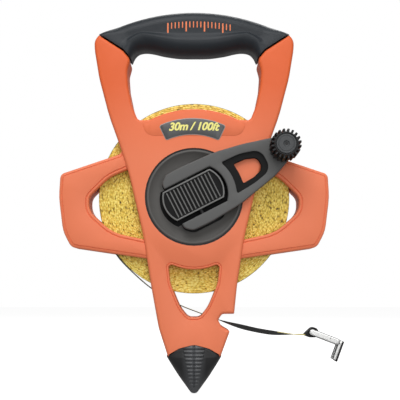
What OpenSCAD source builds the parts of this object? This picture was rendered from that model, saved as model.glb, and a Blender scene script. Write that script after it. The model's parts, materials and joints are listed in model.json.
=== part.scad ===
// Open-reel surveyor's tape: a cross-shaped two-shell frame with a soft grip on top and a
// pointed nose below, a folding crank on the hub, and a hook on the end of the blade.
//
// Every sub-part is drawn lying on its back, centred on the hub: X runs to the right,
// Y up the frame and Z towards the user.  upright() then stands it up below the grip.

/* [Frame] */
// Height of the grip's centre above the hub's centre
grip_rise = 137; // [136:0.5:138]
// Half the thickness of the central body
body_h = 16.5; // [16:0.5:18]
// Half the thickness of the side wings
wing_h = 14; // [13:0.5:15]
// Distance from the middle plane to the inside of each cheek
cheek_in = 8; // [8:0.1:8.4]
// Wall thickness of the moulded shells
wall = 2.8; // [2.2:0.1:3]
// Half the thickness of the soft grip
grip_h = 16.5; // [16:0.5:16.5]

/* [Tape] */
// Outside radius of the wound tape
coil_r = 77.5; // [70:0.5:77.5]
// Width of the tape blade
tape_w = 13; // [10:0.5:13]
// Thickness of the loose stretch of blade
lead_t = 0.6; // [0.4:0.1:0.6]

/* [Hub] */
// Radius of the hub disc where it turns in its bearing rings
hub_r = 38.2; // [38:0.1:39]
// Running clearance of the hub, on the radius
hub_gap = 0.06; // [0.02:0.01:0.1]
// Depth of the hollow in the front of the hub disc
dish = 4; // [2:0.5:4.5]

/* [Crank] */
// Angle of the crank arm above level
crank_angle = 27; // [0:1:30]
// Length of the crank from the hub to the knob
crank_len = 82; // [81:0.5:83]
// Thickness of the crank arm
arm_t = 5; // [4.5:0.1:5.2]
// Outside radius of the knob
knob_r = 11.8; // [10:0.1:12]
// Length of the knob
knob_len = 22; // [18:0.5:23]
// Number of ribs round the knob
knob_ribs = 20; // [12:1:24]

/* [Hook] */
// Slope of the hook below level
hook_angle = 20.8; // [0:0.1:30]
// Distance between the two hook pins
pin_pitch = 18.6; // [18:0.1:20]
// Length of the claw
claw_len = 15; // [10:0.5:16]

/* [Hidden] */
eps = 0.01;
arc_step = 15;

orange = [0.97, 0.42, 0.22];
black = [0.10, 0.10, 0.11];
charcoal = [0.30, 0.31, 0.32];
tape_yellow = [0.80, 0.68, 0.25];
steel = [0.75, 0.75, 0.76];

// Frame sizes worked out from the driving ones
bore_r = hub_r + hub_gap + 1.3;
pocket_r = coil_r + 2;
floor_h = wing_h - wall;
screw_r = 1.5;
pilot_r = screw_r + 0.03;
boss_r = 4.6;
hub_boss_r = 3.4;
head_r = 3.2;
screw_spots = [
    [66.5, 106], [-66.5, 106], [61, 80], [-61, 80],
    [96.5, 6], [-96.5, 6], [94.5, -28], [-94.5, -28], [0, -110]
];

// Crank and hub sizes
axis_h = body_h + 3;
arm_low = axis_h - arm_t / 2;
arm_top = axis_h + arm_t / 2;
pad_half_w = 12.5;
pad_half_l = 25;
pad_h = arm_top + 0.4;
moat = 3;
tine_out = 25.5;
tail = 18.6;
hinge_r = 1.5;
dish_floor = body_h - dish;
disc_back = dish_floor - 2.6;
web_h = -1;
web_t = 2.5;
core_in = 33;
hub_bosses = [[29.5, 0], [-29.5, 0], [0, 29.5], [0, -29.5]];
knob_gap = 0.4;
knob_low = arm_top + knob_gap;
knob_top = knob_low + knob_len;
axle_r = 2;
knob_off = 2;

// Hook sizes
near_pin = [96.1, -109];
hook_half = 2.6;
ear_in = 6.9;
ear_out = 8.1;
pin_r = 1.3;

// ---- outlines: lists of corners [x, y, fillet radius], anticlockwise ----

function unit(v) = v / norm(v);
function left_of(v) = [-v[1], v[0]];
function turn(v, a) = [v[0] * cos(a) - v[1] * sin(a), v[0] * sin(a) + v[1] * cos(a)];
function xy(p) = [p[0], p[1]];

// The points of one corner: itself, or an arc tangent to both of its sides
function corner(a, b, c) =
    let (
        e1 = unit(xy(b) - xy(a)),
        e2 = unit(xy(c) - xy(b)),
        bend = atan2(e1[0] * e2[1] - e1[1] * e2[0], e1 * e2),
        side = bend < 0 ? -1 : 1,
        n1 = left_of(e1) * side,
        n2 = left_of(e2) * side,
        centre = xy(b) + b[2] * (n1 + n2) / (1 + n1 * n2),
        steps = max(1, ceil(abs(bend) / arc_step))
    )
    b[2] < eps || abs(bend) < 0.5
        ? [xy(b)]
        : [for (k = [0:steps]) centre + turn(-n1 * b[2], bend * k / steps)];

function rounded(p) =
    [for (i = [0:len(p) - 1])
        each corner(p[(i + len(p) - 1) % len(p)], p[i], p[(i + 1) % len(p)])];

// The same outline moved in by d; outward corners lose radius and inward ones gain it
function inset(p, d) =
    [for (i = [0:len(p) - 1])
        let (
            e1 = unit(xy(p[i]) - xy(p[(i + len(p) - 1) % len(p)])),
            e2 = unit(xy(p[(i + 1) % len(p)]) - xy(p[i])),
            n1 = left_of(e1),
            n2 = left_of(e2),
            moved = xy(p[i]) + d * (n1 + n2) / (1 + n1 * n2),
            side = e1[0] * e2[1] - e1[1] * e2[0] < 0 ? -1 : 1
        )
        [moved[0], moved[1], max(0, p[i][2] - side * d)]];

// An outline given by its right half, from the bottom up, and the same on the left
function both_sides(p) =
    concat(p, [for (i = [len(p) - 1:-1:0]) [-p[i][0], p[i][1], p[i][2]]]);

// Points of an arc about [cx, cy], from angle a to angle b
function arc(cx, cy, r, a, b, n) =
    [for (k = [0:n]) [cx + r * cos(a + (b - a) * k / n), cy + r * sin(a + (b - a) * k / n), 0]];

// A smooth line through hand-set points, four steps between each pair
function smooth(p) =
    [for (i = [0:len(p) - 2])
        let (a = p[max(i - 1, 0)], b = p[i], c = p[i + 1], d = p[min(i + 2, len(p) - 1)])
        for (t = [0:0.25:(i == len(p) - 2 ? 1 : 0.75)])
            0.5 * (2 * b + (c - a) * t + (2 * a - 5 * b + 4 * c - d) * t * t
                + (3 * b - a - 3 * c + d) * t * t * t)];

// A band of half-width w along a line
function band(p, w) =
    let (
        side = [for (i = [0:len(p) - 1])
            w * left_of(unit(p[min(i + 1, len(p) - 1)] - p[max(i - 1, 0)]))]
    )
    concat(
        [for (i = [0:len(p) - 1]) p[i] - side[i]],
        [for (i = [len(p) - 1:-1:0]) p[i] + side[i]]
    );

// The raised A of the frame: nose end, body, legs, and the bridge over the hub
top_arc = arc(0, -13.5, 84, 64.6, 86, 4);
a_frame = both_sides(concat(
    [
        [20.8, -127, 0.5], [28, -105, 40], [34.5, -70, 90], [40.5, -32, 90], [52.5, 18, 90],
        [58.5, 37, 60], [69, 66, 90], [77.5, 97, 60], [81.8, 121, 30], [82.4, 128.6, 7],
        [77.8, 133.2, 0], [58, 120.2, 10], [51.2, 111, 1], [55, 102, 7], [53.6, 90, 30],
        [50.2, 74, 30], [45.6, 62.4, 4]
    ],
    top_arc
));

// A side wing, seen on the right, running in under the body
wing = [
    [30, -50.8, 0], [98.6, -40.6, 7], [105.5, -28, 30], [109.2, 0, 60], [108.2, 18.6, 5],
    [60, 35, 4], [56, 44, 0], [30, 44, 0]
];
wing_window = [
    [40.8, -34.2, 1.5], [65.4, -28.8, 35], [84.8, -11.6, 14], [84.8, 0.2, 9],
    [68.9, 16.1, 30], [53.2, 23, 1.5], [46, -7, 90]
];
lower_window = both_sides([
    [4.5, -96.4, 6], [11, -88.8, 30], [18.8, -70, 30], [20.2, -52, 0]
]);
lower_window_top = 57.3;

// The mouth that the blade leaves by, cut into the right of the body
mouth = [
    [22.2, -102.6, 3], [32, -108, 0], [46, -108, 0], [46, -93.2, 0], [24, -93.4, 3], [19.2, -98, 2.4]
];

// Hollows inside the shells, on the right: leg, wing end and nose end
leg_pocket = [
    [61.4, 71.4, 2], [66.6, 69.6, 2.4], [74.5, 98, 5], [78, 120, 5], [76.4, 128.4, 3], [60, 117.6, 4], [58, 92, 20]
];
wing_pocket = [
    [91, -37.6, 3], [97, -36, 4], [102.6, -26, 20], [106, 0, 40], [105, 15.6, 3], [88.6, 20.6, 3],
    [89.4, 4, 9], [89.4, -14, 9], [85.6, -24, 3]
];
nose_pocket = both_sides([[15, -122.6, 3], [21.4, -110.4, 3], [6.4, -102.4, 2]]);

// The soft grip, and the bar of the frame inside it
grip = both_sides(concat(
    [
        [9, 116.8, 0], [22, 118.4, 25], [38, 121.6, 9], [47, 120.6, 7], [51, 112.2, 0.5], [57.4, 121.2, 10]
    ],
    [[78.4, 134.2, 2.5]],
    arc(0, 7, 148, 62, 87, 5)
));
bar_mid_r = 182;
bar_half = 7;
bar_h = 11;

// The nose, which laps over both faces of the body's end and stays flush with them
nose = [
    [-2.5, -157.6, 2], [2.5, -157.6, 2], [12.6, -143, 60], [21.6, -128, 1], [20.6, -126.2, 1],
    [12, -121, 12], [0, -118, 12], [-12, -121, 12], [-20.6, -126.2, 1], [-21.6, -128, 1],
    [-12.6, -143, 60]
];
nose_lap = 2;
nose_seat = body_h - nose_lap;

// The loose stretch of blade, from its tangent on the coil to the hook
lead_route = [
    [-65.6, -42.6], [-59.9, -50.3], [-53.3, -57.2], [-45.5, -64.5], [-36, -72.4], [-23.5, -80.8],
    [-10.5, -87.4], [5, -93.4], [20, -98.8], [32, -102.6], [46, -106.2], [60, -108.8],
    [74, -110.2], [85, -110.6]
];

// ---- shared shapes ----

module upright() translate([0, 0, -grip_rise]) rotate([90, 0, 0]) children();

module along_crank() rotate([0, 0, crank_angle]) children();

module hub_ring(r_out, r_in, low, high) translate([0, 0, low])
    rotate_extrude($fn = 120) translate([r_in, 0]) square([r_out - r_in, high - low]);

module pair() {
    children();
    mirror([1, 0, 0]) children();
}

// A round bar along the crank's own cross direction, centred on the fold axis
module cross_bar(r, half) translate([0, 0, axis_h]) rotate([90, 0, 0])
    cylinder(r = r, h = 2 * half, center = true, $fn = 48);

// ---- frame ----

module half_outline() {
    linear_extrude(body_h) polygon(rounded(a_frame));
    pair() linear_extrude(wing_h) polygon(rounded(wing));
    linear_extrude(bar_h) handle_bar(0);
    translate([-8, -146, 0]) cube([16, 26, 6]);
}

module handle_bar(extra) intersection() {
    translate([0, -44]) difference() {
        circle(r = bar_mid_r + bar_half + extra, $fn = 240);
        circle(r = bar_mid_r - bar_half - extra, $fn = 240);
    }
    translate([-70, 100]) square([140, 50]);
}

module half_hollows() {
    translate([0, 0, -eps]) cylinder(r = pocket_r, h = cheek_in + eps, $fn = 180);
    cylinder(r = bore_r, h = 40, $fn = 120);
    pair() translate([0, 0, -eps]) linear_extrude(40) polygon(rounded(wing_window));
    translate([0, 0, -eps]) linear_extrude(40) difference() {
        polygon(rounded(lower_window));
        circle(r = lower_window_top, $fn = 120);
    }
    translate([0, 0, -eps]) linear_extrude(40) polygon(rounded(mouth));
    pair() translate([0, 0, -eps]) linear_extrude(body_h - wall) polygon(rounded(leg_pocket));
    pair() translate([0, 0, -eps]) linear_extrude(floor_h) polygon(rounded(wing_pocket));
    translate([0, 0, -eps]) linear_extrude(nose_seat - wall) polygon(rounded(nose_pocket));
    translate([0, 0, nose_seat - 0.05]) linear_extrude(40) polygon(rounded(inset(nose, -0.05)));
    translate([0, 0, -eps]) linear_extrude(cheek_in - 0.5) polygon(band(smooth(lead_route), 2.2));
}

module frame_shell() {
    difference() {
        union() {
            difference() {
                half_outline();
                half_hollows();
            }
            for (p = screw_spots) translate([p[0], p[1], 0])
                cylinder(r = boss_r, h = head_seat(p) + 1.7, $fn = 48);
        }
        children();
    }
}

module nose_pin_hole() translate([0, -137, 0]) rotate([0, 90, 0])
    cylinder(r = screw_r + 0.03, h = 40, center = true, $fn = 48);

module front_frame() color(orange) upright() frame_shell() {
    for (p = screw_spots) translate([p[0], p[1], -eps]) cylinder(r = pilot_r, h = 8, $fn = 48);
    nose_pin_hole();
    translate([0, 0, body_h - 0.3]) linear_extrude(1) label_shape();
}

module rear_frame() color(orange) upright() mirror([0, 0, 1]) frame_shell() {
    for (p = screw_spots) translate([p[0], p[1], -eps]) {
        cylinder(r = pilot_r + 0.05, h = 40, $fn = 48);
        translate([0, 0, head_seat(p)]) cylinder(r = head_r + 0.2, h = 40, $fn = 48);
    }
    nose_pin_hole();
}

// Height of the step that a screw's head bears on: deeper where the shell is thinner
function head_seat(p) = abs(p[0]) > 85 ? wing_h - 4 : body_h - 4;

module frame_screws() color(steel) upright() mirror([0, 0, 1])
    for (p = screw_spots) translate([p[0], p[1], 0]) {
        difference() {
            translate([0, 0, head_seat(p)]) cylinder(r = head_r, h = 2.2, $fn = 48);
            translate([0, 0, head_seat(p) + 1]) cross_slot();
        }
        translate([0, 0, -7]) cylinder(r = screw_r, h = head_seat(p) + 7 + eps, $fn = 48);
    }

module cross_slot() for (a = [0, 90]) rotate([0, 0, a]) translate([-1.9, -0.4, 0]) cube([3.8, 0.8, 3]);

module label_shape() difference() {
    intersection() {
        circle(r = 63, $fn = 180);
        polygon([[0, 0], [28.5, 60], [28.5, 70], [-28.5, 70], [-28.5, 60]]);
    }
    circle(r = 49.6, $fn = 180);
}

module length_label() color(charcoal) upright()
    translate([0, 0, body_h - 0.3]) linear_extrude(0.4) label_shape();

// Three steps make the soft edge of each grip half
module grip_half() difference() {
    union() {
        linear_extrude(grip_h - 5) polygon(rounded(grip));
        linear_extrude(grip_h - 2) polygon(rounded(inset(grip, 1.6)));
        linear_extrude(grip_h) polygon(rounded(inset(grip, 4)));
    }
    translate([0, 0, -eps]) linear_extrude(bar_h + 0.1) handle_bar(0.1);
}

module front_grip() color(black) upright() grip_half();
module rear_grip() color(black) upright() mirror([0, 0, 1]) grip_half();

// The nose: one outline seen from the front, another seen from the side
module nose_cone() color(black) upright() difference() {
    intersection() {
        translate([0, 0, -20]) linear_extrude(40) polygon(rounded(nose));
        translate([-30, 0, 0]) rotate([90, 0, 90]) linear_extrude(60) polygon(rounded([
            [-157.6, -2.5, 2], [-143, -12, 60], [-128, -body_h, 2], [-116, -body_h, 0],
            [-116, body_h, 0], [-128, body_h, 2], [-143, 12, 60], [-157.6, 2.5, 2]
        ]));
    }
    // the seat that fits over the end of the body, and the slot for its tongue
    translate([-30, -127, -nose_seat]) cube([60, 20, 2 * nose_seat]);
    translate([-8.1, -146.1, -6.1]) cube([16.2, 20, 12.2]);
    nose_pin_hole();
}

module nose_pin() color(steel) upright() translate([0, -137, 0]) rotate([0, 90, 0])
    cylinder(r = screw_r, h = 26, center = true, $fn = 48);

module bearing_ring() {
    hub_ring(bore_r - 0.02, hub_r + hub_gap, cheek_in, body_h - 0.8);
}

module front_bearing_ring() color(black) upright() bearing_ring();
module rear_bearing_ring() color(black) upright() mirror([0, 0, 1]) bearing_ring();

// ---- spool ----

// Slots that let the two tines of the crank swing down through the hub
module tine_slots() for (s = [-1, 1])
    translate([0, s * (pad_half_w + moat + tine_out) / 2, 0])
        cube([2 * tail + 2.8, tine_out - pad_half_w - moat + 1.6, 60], center = true);

module hub_screw_holes(r) for (p = hub_bosses) translate([p[0], p[1], -40]) cylinder(r = r, h = 80, $fn = 48);

module front_hub_disc() color(charcoal) upright() along_crank() difference() {
    union() {
        rotate_extrude($fn = 120) polygon([
            [0, disc_back], [core_in + 0.5, disc_back], [core_in + 0.5, cheek_in - 0.6],
            [hub_r - 0.6, cheek_in - 0.6], [hub_r + 3.2, cheek_in - 1.1], [hub_r + 3.2, cheek_in - 0.4],
            [hub_r, cheek_in - 0.4], [hub_r, body_h - 0.9], [hub_r - 0.6, body_h - 0.3],
            [hub_r - 1.8, body_h - 0.3], [hub_r - 11, dish_floor + 0.8], [hub_r - 15, dish_floor], [0, dish_floor]
        ]);
        for (p = hub_bosses) translate([p[0], p[1], web_h + web_t / 2])
            cylinder(r = hub_boss_r, h = disc_back - web_h - web_t / 2 + eps, $fn = 48);
    }
    tine_slots();
    for (p = hub_bosses) translate([p[0], p[1], -5]) cylinder(r = pilot_r, h = disc_back + 5.6, $fn = 48);
    // the crescent hollow left of the pad
    translate([0, 0, dish_floor - 1.2]) linear_extrude(10) difference() {
        polygon(rounded(pad_outline(moat)));
        polygon(rounded(pad_outline(0.02)));
    }
}

module drum() color(black) upright() along_crank() difference() {
    union() {
        hub_ring(hub_r - 0.7, core_in, -cheek_in + 0.6, cheek_in - 0.6);
        translate([0, 0, web_h - web_t / 2]) cylinder(r = core_in + eps, h = web_t, $fn = 120);
    }
    hub_screw_holes(pilot_r + 0.1);
    // the slot and hole for the inner end of the tape
    rotate([0, 0, 200]) translate([core_in - 1, -0.8, -tape_w / 2]) cube([8, 1.6, tape_w]);
    rotate([0, 0, 206]) translate([hub_r - 3.4, 0, -20]) cylinder(r = 1.28, h = 40, $fn = 32);
}

module tape_anchor() color(steel) upright() along_crank() rotate([0, 0, 206])
    translate([hub_r - 3.4, 0, -6]) cylinder(r = 1.25, h = 12, $fn = 32);

module rear_hub_cap() color(charcoal) upright() along_crank() mirror([0, 0, 1]) difference() {
    union() {
        rotate_extrude($fn = 120) polygon([
            [0, 12], [core_in - 2, 12], [core_in - 2, cheek_in - 0.6],
            [hub_r - 0.6, cheek_in - 0.6], [hub_r + 3.2, cheek_in - 1.1], [hub_r + 3.2, cheek_in - 0.4],
            [hub_r, cheek_in - 0.4], [hub_r, body_h - 0.9], [hub_r - 0.6, body_h - 0.3],
            [hub_r - 4, body_h - 0.3], [hub_r - 7, 14.4], [9, 14.4], [7, body_h - 0.8], [0, body_h - 0.8]
        ]);
        for (p = hub_bosses) translate([p[0], p[1], web_t / 2 - web_h])
            cylinder(r = hub_boss_r, h = 12 + web_h - web_t / 2 + eps, $fn = 48);
    }
    hub_screw_holes(pilot_r + 0.1);
    for (p = hub_bosses) translate([p[0], p[1], 11.5]) cylinder(r = head_r + 0.2, h = 10, $fn = 48);
}

module hub_screws() color(steel) upright() along_crank() mirror([0, 0, 1])
    for (p = hub_bosses) translate([p[0], p[1], 0]) {
        difference() {
            translate([0, 0, 11.5]) cylinder(r = head_r, h = 2.2, $fn = 48);
            translate([0, 0, 12.5]) cross_slot();
        }
        translate([0, 0, -9]) cylinder(r = screw_r, h = 20.5 + eps, $fn = 48);
    }

module tape_coil() color(tape_yellow) upright()
    hub_ring(coil_r, hub_r - 0.4, -tape_w / 2, tape_w / 2);

// A bar with bulging ends, grown by d all round
function pad_outline(d) =
    let (
        bulge = 4.5,
        r = (pow(pad_half_w, 2) + pow(bulge, 2)) / (2 * bulge),
        a = asin((pad_half_w + d) / (r + d)),
        c = pad_half_l - r
    )
    concat(arc(c, 0, r + d, -a, a, 8), arc(-c, 0, r + d, 180 - a, 180 + a, 8));

module thumb_pad() color(black) upright() along_crank() difference() {
    union() {
        translate([0, 0, dish_floor + 0.02]) linear_extrude(pad_h - 1 - dish_floor) polygon(rounded(pad_outline(0)));
        translate([0, 0, pad_h - 2]) linear_extrude(2) difference() {
            polygon(rounded(pad_outline(0)));
            polygon(rounded(pad_outline(-1.1)));
        }
        for (i = [-6:6]) translate([i * 3.1 - 0.6, 1.4 - pad_half_w, pad_h - 2])
            cube([1.2, 2 * pad_half_w - 2.8, 1.8]);
    }
    cross_bar(hinge_r + 0.03, 30);
}

module crank_hinge_pin() color(steel) upright() along_crank() cross_bar(hinge_r, 24);

// ---- crank ----

arm_outline = concat(
    [
        [-tail, -pad_half_w - moat, 1], [-tail, -20, 6], [-13, -tine_out, 8], [2, -tine_out, 60],
        [30, -22.9, 60], [66, -14.8, 40]
    ],
    arc(82, knob_off, 9.5, -66, 82, 8),
    [
        [75, 12.8, 30], [53, 18.4, 60], [30, 22.9, 60], [2, tine_out, 60], [-13, tine_out, 8], [-tail, 20, 6],
        [-tail, pad_half_w + moat, 1]
    ],
    arc(4.1, 0, 23.5, 41.3, -41.3, 8)
);
arm_window = [
    [38.6, -8.6, 1.5], [57.8, -5.2, 6], [57.8, 5.2, 6], [38.6, 8.6, 1.5], [39.5, 4, 0], [39.8, 0, 0], [39.5, -4, 0]
];

module crank_arm() color(charcoal) upright() along_crank() difference() {
    union() {
        translate([0, 0, arm_low]) linear_extrude(arm_t) polygon(rounded(arm_outline));
        translate([crank_len, knob_off, arm_low]) cylinder(r = 8.6, h = arm_t, $fn = 72);
    }
    translate([0, 0, arm_low - 1]) linear_extrude(arm_t + 2) polygon(rounded(arm_window));
    // the sunk margin round the finger window
    translate([0, 0, arm_top - 1.6]) linear_extrude(5) intersection() {
        polygon(rounded([
            [30, -15.4, 3], [48, -13, 30], [63.4, -8, 9], [63.4, 8.4, 9], [48, 13.4, 30], [30, 15.4, 3]
        ]));
        difference() {
            circle(r = 80, $fn = 96);
            circle(r = 34.2, $fn = 96);
        }
    }
    cross_bar(hinge_r + 0.03, 24.1);
    translate([crank_len, knob_off, arm_low - 1]) cylinder(r = axle_r + 0.03, h = arm_t + 2, $fn = 48);
    translate([crank_len, knob_off, arm_low - eps]) cylinder(r = 3.6, h = 1.4, $fn = 48);
}

module knob_axle() color(steel) upright() along_crank() translate([crank_len, knob_off, 0]) {
    translate([0, 0, arm_low + 0.1]) cylinder(r = 3.5, h = 1.3, $fn = 48);
    translate([0, 0, arm_low + 1.3]) cylinder(r = axle_r, h = knob_top - 3 - arm_low - 1.3, $fn = 48);
    translate([0, 0, knob_top - 4.4]) cylinder(r = 3.4, h = 1.4, $fn = 48);
}

module knob() color(black) upright() along_crank() translate([crank_len, knob_off, 0]) difference() {
    union() {
        translate([0, 0, knob_low]) cylinder(r = knob_r - 1.5, h = knob_len, $fn = 96);
        for (i = [0:knob_ribs - 1]) rotate([0, 0, 360 * i / knob_ribs])
            translate([knob_r - 2.5, -0.9, knob_low + 1]) cube([2.5, 1.8, knob_len - 1.6]);
    }
    translate([0, 0, knob_low - 1]) cylinder(r = axle_r + 0.05, h = knob_len + 2, $fn = 48);
    translate([0, 0, knob_top - 4.6]) cylinder(r = 3.9, h = 10, $fn = 48);
    translate([0, 0, knob_top - 2.4]) cylinder(r = 7.9, h = 10, $fn = 72);
}

module knob_cap() color(charcoal) upright() along_crank() translate([crank_len, knob_off, 0]) difference() {
    translate([0, 0, knob_top - 2.38]) cylinder(r = 7.85, h = 2, $fn = 72);
    translate([0, 0, knob_top - 1.2]) cylinder(r = 2.2, h = 5, $fn = 48);
}

// ---- blade and hook ----

module tape_lead() color(tape_yellow) upright()
    translate([0, 0, -tape_w / 2]) linear_extrude(tape_w) polygon(band(smooth(lead_route), lead_t / 2));

module tape_end_loop() color(black) upright() difference() {
    union() {
        translate([near_pin[0], near_pin[1], -6.4]) cylinder(r = 3.3, h = 12.8, $fn = 64);
        translate([85.05, -111.3, -6.4]) cube([9, 1.5, 12.8]);
    }
    translate([near_pin[0], near_pin[1], -10]) cylinder(r = pin_r + 0.05, h = 20, $fn = 48);
}

module at_hook() translate([near_pin[0], near_pin[1], 0]) rotate([0, 0, -hook_angle]) children();

module bright_pin(x, half) translate([x, 0, 0]) cylinder(r = pin_r, h = 2 * half, center = true, $fn = 48);

module hook_body() color(steel) upright() at_hook() difference() {
    union() {
        for (s = [-1, 1]) translate([0, 0, s * (ear_in + ear_out) / 2]) linear_extrude(ear_out - ear_in, center = true)
            polygon(rounded([
                [-4, -hook_half, 2.4], [22.4, -hook_half, 2.4], [22.4, hook_half, 2.4], [-4, hook_half, 2.4]
            ]));
        translate([4.6, hook_half - 1.2, -ear_in - eps]) cube([10.6, 1.2, 2 * ear_in + 2 * eps]);
    }
    for (x = [0, pin_pitch]) translate([x, 0, 0]) cylinder(r = pin_r + 0.02, h = 40, center = true, $fn = 48);
}

module loop_pin() color(steel) upright() at_hook() bright_pin(0, ear_out + 0.4);
module claw_pin() color(steel) upright() at_hook() bright_pin(pin_pitch, ear_out + 0.4);

module hook_claw() color(steel) upright() at_hook() difference() {
    union() {
        for (s = [-1, 1]) translate([0, 0, s * 5.9]) linear_extrude(1.2, center = true) polygon(rounded([
            [pin_pitch - 2.2, -2.2, 2], [25.2, -2.2, 0], [25.2, 2, 0], [pin_pitch - 2.2, 2, 2]
        ]));
        translate([24, -claw_len, -7.6]) cube([1.4, claw_len + 2, 15.2]);
    }
    translate([pin_pitch, 0, 0]) cylinder(r = pin_r + 0.05, h = 40, center = true, $fn = 48);
}

front_frame();
rear_frame();
front_grip();
rear_grip();
frame_screws();
nose_cone();
nose_pin();
front_bearing_ring();
rear_bearing_ring();
length_label();
drum();
front_hub_disc();
rear_hub_cap();
hub_screws();
thumb_pad();
crank_hinge_pin();
tape_anchor();
tape_coil();
tape_lead();
tape_end_loop();
crank_arm();
knob_axle();
knob();
knob_cap();
hook_body();
loop_pin();
claw_pin();
hook_claw();
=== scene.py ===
import json
import math
import bmesh
import bpy
import numpy as np
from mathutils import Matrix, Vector
from mathutils.geometry import delaunay_2d_cdt


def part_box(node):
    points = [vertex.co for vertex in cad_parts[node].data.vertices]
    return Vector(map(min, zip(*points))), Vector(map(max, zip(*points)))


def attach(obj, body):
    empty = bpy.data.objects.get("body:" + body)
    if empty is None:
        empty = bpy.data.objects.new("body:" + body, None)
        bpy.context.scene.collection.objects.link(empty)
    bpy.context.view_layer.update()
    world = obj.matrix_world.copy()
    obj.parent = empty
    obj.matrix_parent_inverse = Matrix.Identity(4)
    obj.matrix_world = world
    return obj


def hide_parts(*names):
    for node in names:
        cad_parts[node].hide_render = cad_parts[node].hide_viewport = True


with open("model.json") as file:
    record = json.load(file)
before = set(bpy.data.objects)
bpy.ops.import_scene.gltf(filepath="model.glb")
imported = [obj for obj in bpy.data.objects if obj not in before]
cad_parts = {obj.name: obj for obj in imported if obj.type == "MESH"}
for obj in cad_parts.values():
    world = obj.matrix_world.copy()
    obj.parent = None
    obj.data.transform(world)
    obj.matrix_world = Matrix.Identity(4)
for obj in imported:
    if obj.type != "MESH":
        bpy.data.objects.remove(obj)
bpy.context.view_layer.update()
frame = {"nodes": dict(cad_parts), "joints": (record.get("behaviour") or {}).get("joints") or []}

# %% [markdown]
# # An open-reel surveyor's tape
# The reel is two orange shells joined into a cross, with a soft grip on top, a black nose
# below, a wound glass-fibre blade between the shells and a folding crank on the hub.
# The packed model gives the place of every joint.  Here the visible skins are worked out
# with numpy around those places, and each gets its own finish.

# %% [markdown]
# ## Places taken from the packed model
# All shapes are drawn lying on their back and centred on the hub, in millimetres: x to the
# right, y up the frame, h towards the user.  `stand` turns such points into the row's own
# frame.  The hub, the fold axis, the knob and the two hook pins are joints, so they are
# read and not typed.

# %% Named places
joint = {j["name"]: j for j in frame["joints"]}
hub_centre = np.array(joint["reel_spin"]["pos_m"])


def flat(point):
    """A place in the row's frame as (x, y, h) millimetres about the hub."""
    away = (np.array(point) - hub_centre) * 1000
    return np.array([away[0], away[2], -away[1]])


def stand(points):
    """(x, y, h) millimetres about the hub turned into metres in the row's frame."""
    p = np.asarray(points, float)
    return np.stack([p[..., 0], -p[..., 2], p[..., 1]], -1) / 1000 + hub_centre


fold_axis = np.array(joint["crank_fold"]["axis"])
crank_angle = math.atan2(fold_axis[0], -fold_axis[2])
fold_h = flat(joint["crank_fold"]["pos_m"])[2]
knob_at = flat(joint["knob_spin"]["pos_m"])
near_pin = flat(joint["hook_swivel"]["pos_m"])
far_pin = flat(joint["claw_fold"]["pos_m"])
hook_angle = math.atan2(far_pin[1] - near_pin[1], far_pin[0] - near_pin[0])
coil_low, coil_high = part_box("tape_coil")
coil_r = (coil_high[0] - coil_low[0]) * 500
tape_w = (coil_high[1] - coil_low[1]) * 1000
body_h = -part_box("front_frame")[0][1] * 1000
print("hub", hub_centre, "crank angle", round(math.degrees(crank_angle), 1), "coil radius", coil_r)

# %% [markdown]
# ## The camera
# The reel is seen from straight in front and a little below its middle.  A long lens less
# than a metre away still shows the knob, which stands out, slightly enlarged.

# %% Camera
camera_away = 0.7665
camera_low = 0.071
camera_right = 0.0048
camera_pitch = math.radians(5.2)
lens_mm = 84.4
camera_data = bpy.data.cameras.new("camera")
camera_data.sensor_width = 36
camera_data.lens = lens_mm
camera = bpy.data.objects.new("camera", camera_data)
camera.location = hub_centre + np.array([camera_right, -camera_away, -camera_low])
camera.rotation_euler = (math.pi / 2 + camera_pitch, 0, 0)
bpy.context.collection.objects.link(camera)
bpy.context.scene.camera = camera
print("camera", camera_away, "m in front of the hub, lens", lens_mm, "mm")

# %% [markdown]
# ## The floor and the lights
# The floor is plain and pale.  It glows a little and stays out of bounced light, and the
# world is brighter to the camera than it is as a lamp.  So floor and background run
# together without tinting the reel.  Broad soft lights from above leave the undersides of
# the hub and grip darker.

# %% Floor and lights
floor_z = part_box("nose_cone")[0][2]
floor_half = 3.0
shade_share = 0.38
floor_grey = 0.42
floor_glow = 0.80
scene = bpy.context.scene
scene.view_settings.view_transform = "Standard"
world = bpy.data.worlds.new("studio")
world.use_nodes = True
sky = world.node_tree.nodes["Background"]
sky.inputs["Color"].default_value = (1, 1, 1, 1)
rays = world.node_tree.nodes.new("ShaderNodeLightPath")
level = world.node_tree.nodes.new("ShaderNodeMapRange")
level.inputs["To Min"].default_value = shade_share
level.inputs["To Max"].default_value = 1.0
world.node_tree.links.new(rays.outputs["Is Camera Ray"], level.inputs["Value"])
world.node_tree.links.new(level.outputs["Result"], sky.inputs["Strength"])
scene.world = world

floor_mesh = bpy.data.meshes.new("floor")
signs = [(-1, -1), (1, -1), (1, 1), (-1, 1)]
floor_mesh.from_pydata([(x * floor_half, y * floor_half, floor_z) for x, y in signs], [], [(0, 1, 2, 3)])
floor = bpy.data.objects.new("floor", floor_mesh)
bpy.context.collection.objects.link(floor)
floor.visible_diffuse = False
floor.visible_glossy = False
floor_paint = bpy.data.materials.new("floor_paint")
floor_paint.use_nodes = True
paint = floor_paint.node_tree.nodes["Principled BSDF"].inputs
paint["Base Color"].default_value = (floor_grey, floor_grey, floor_grey, 1)
paint["Roughness"].default_value = 1.0
paint["Specular IOR Level"].default_value = 0.0
paint["Emission Color"].default_value = (1, 1, 1, 1)
paint["Emission Strength"].default_value = floor_glow
floor_mesh.materials.append(floor_paint)


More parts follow.
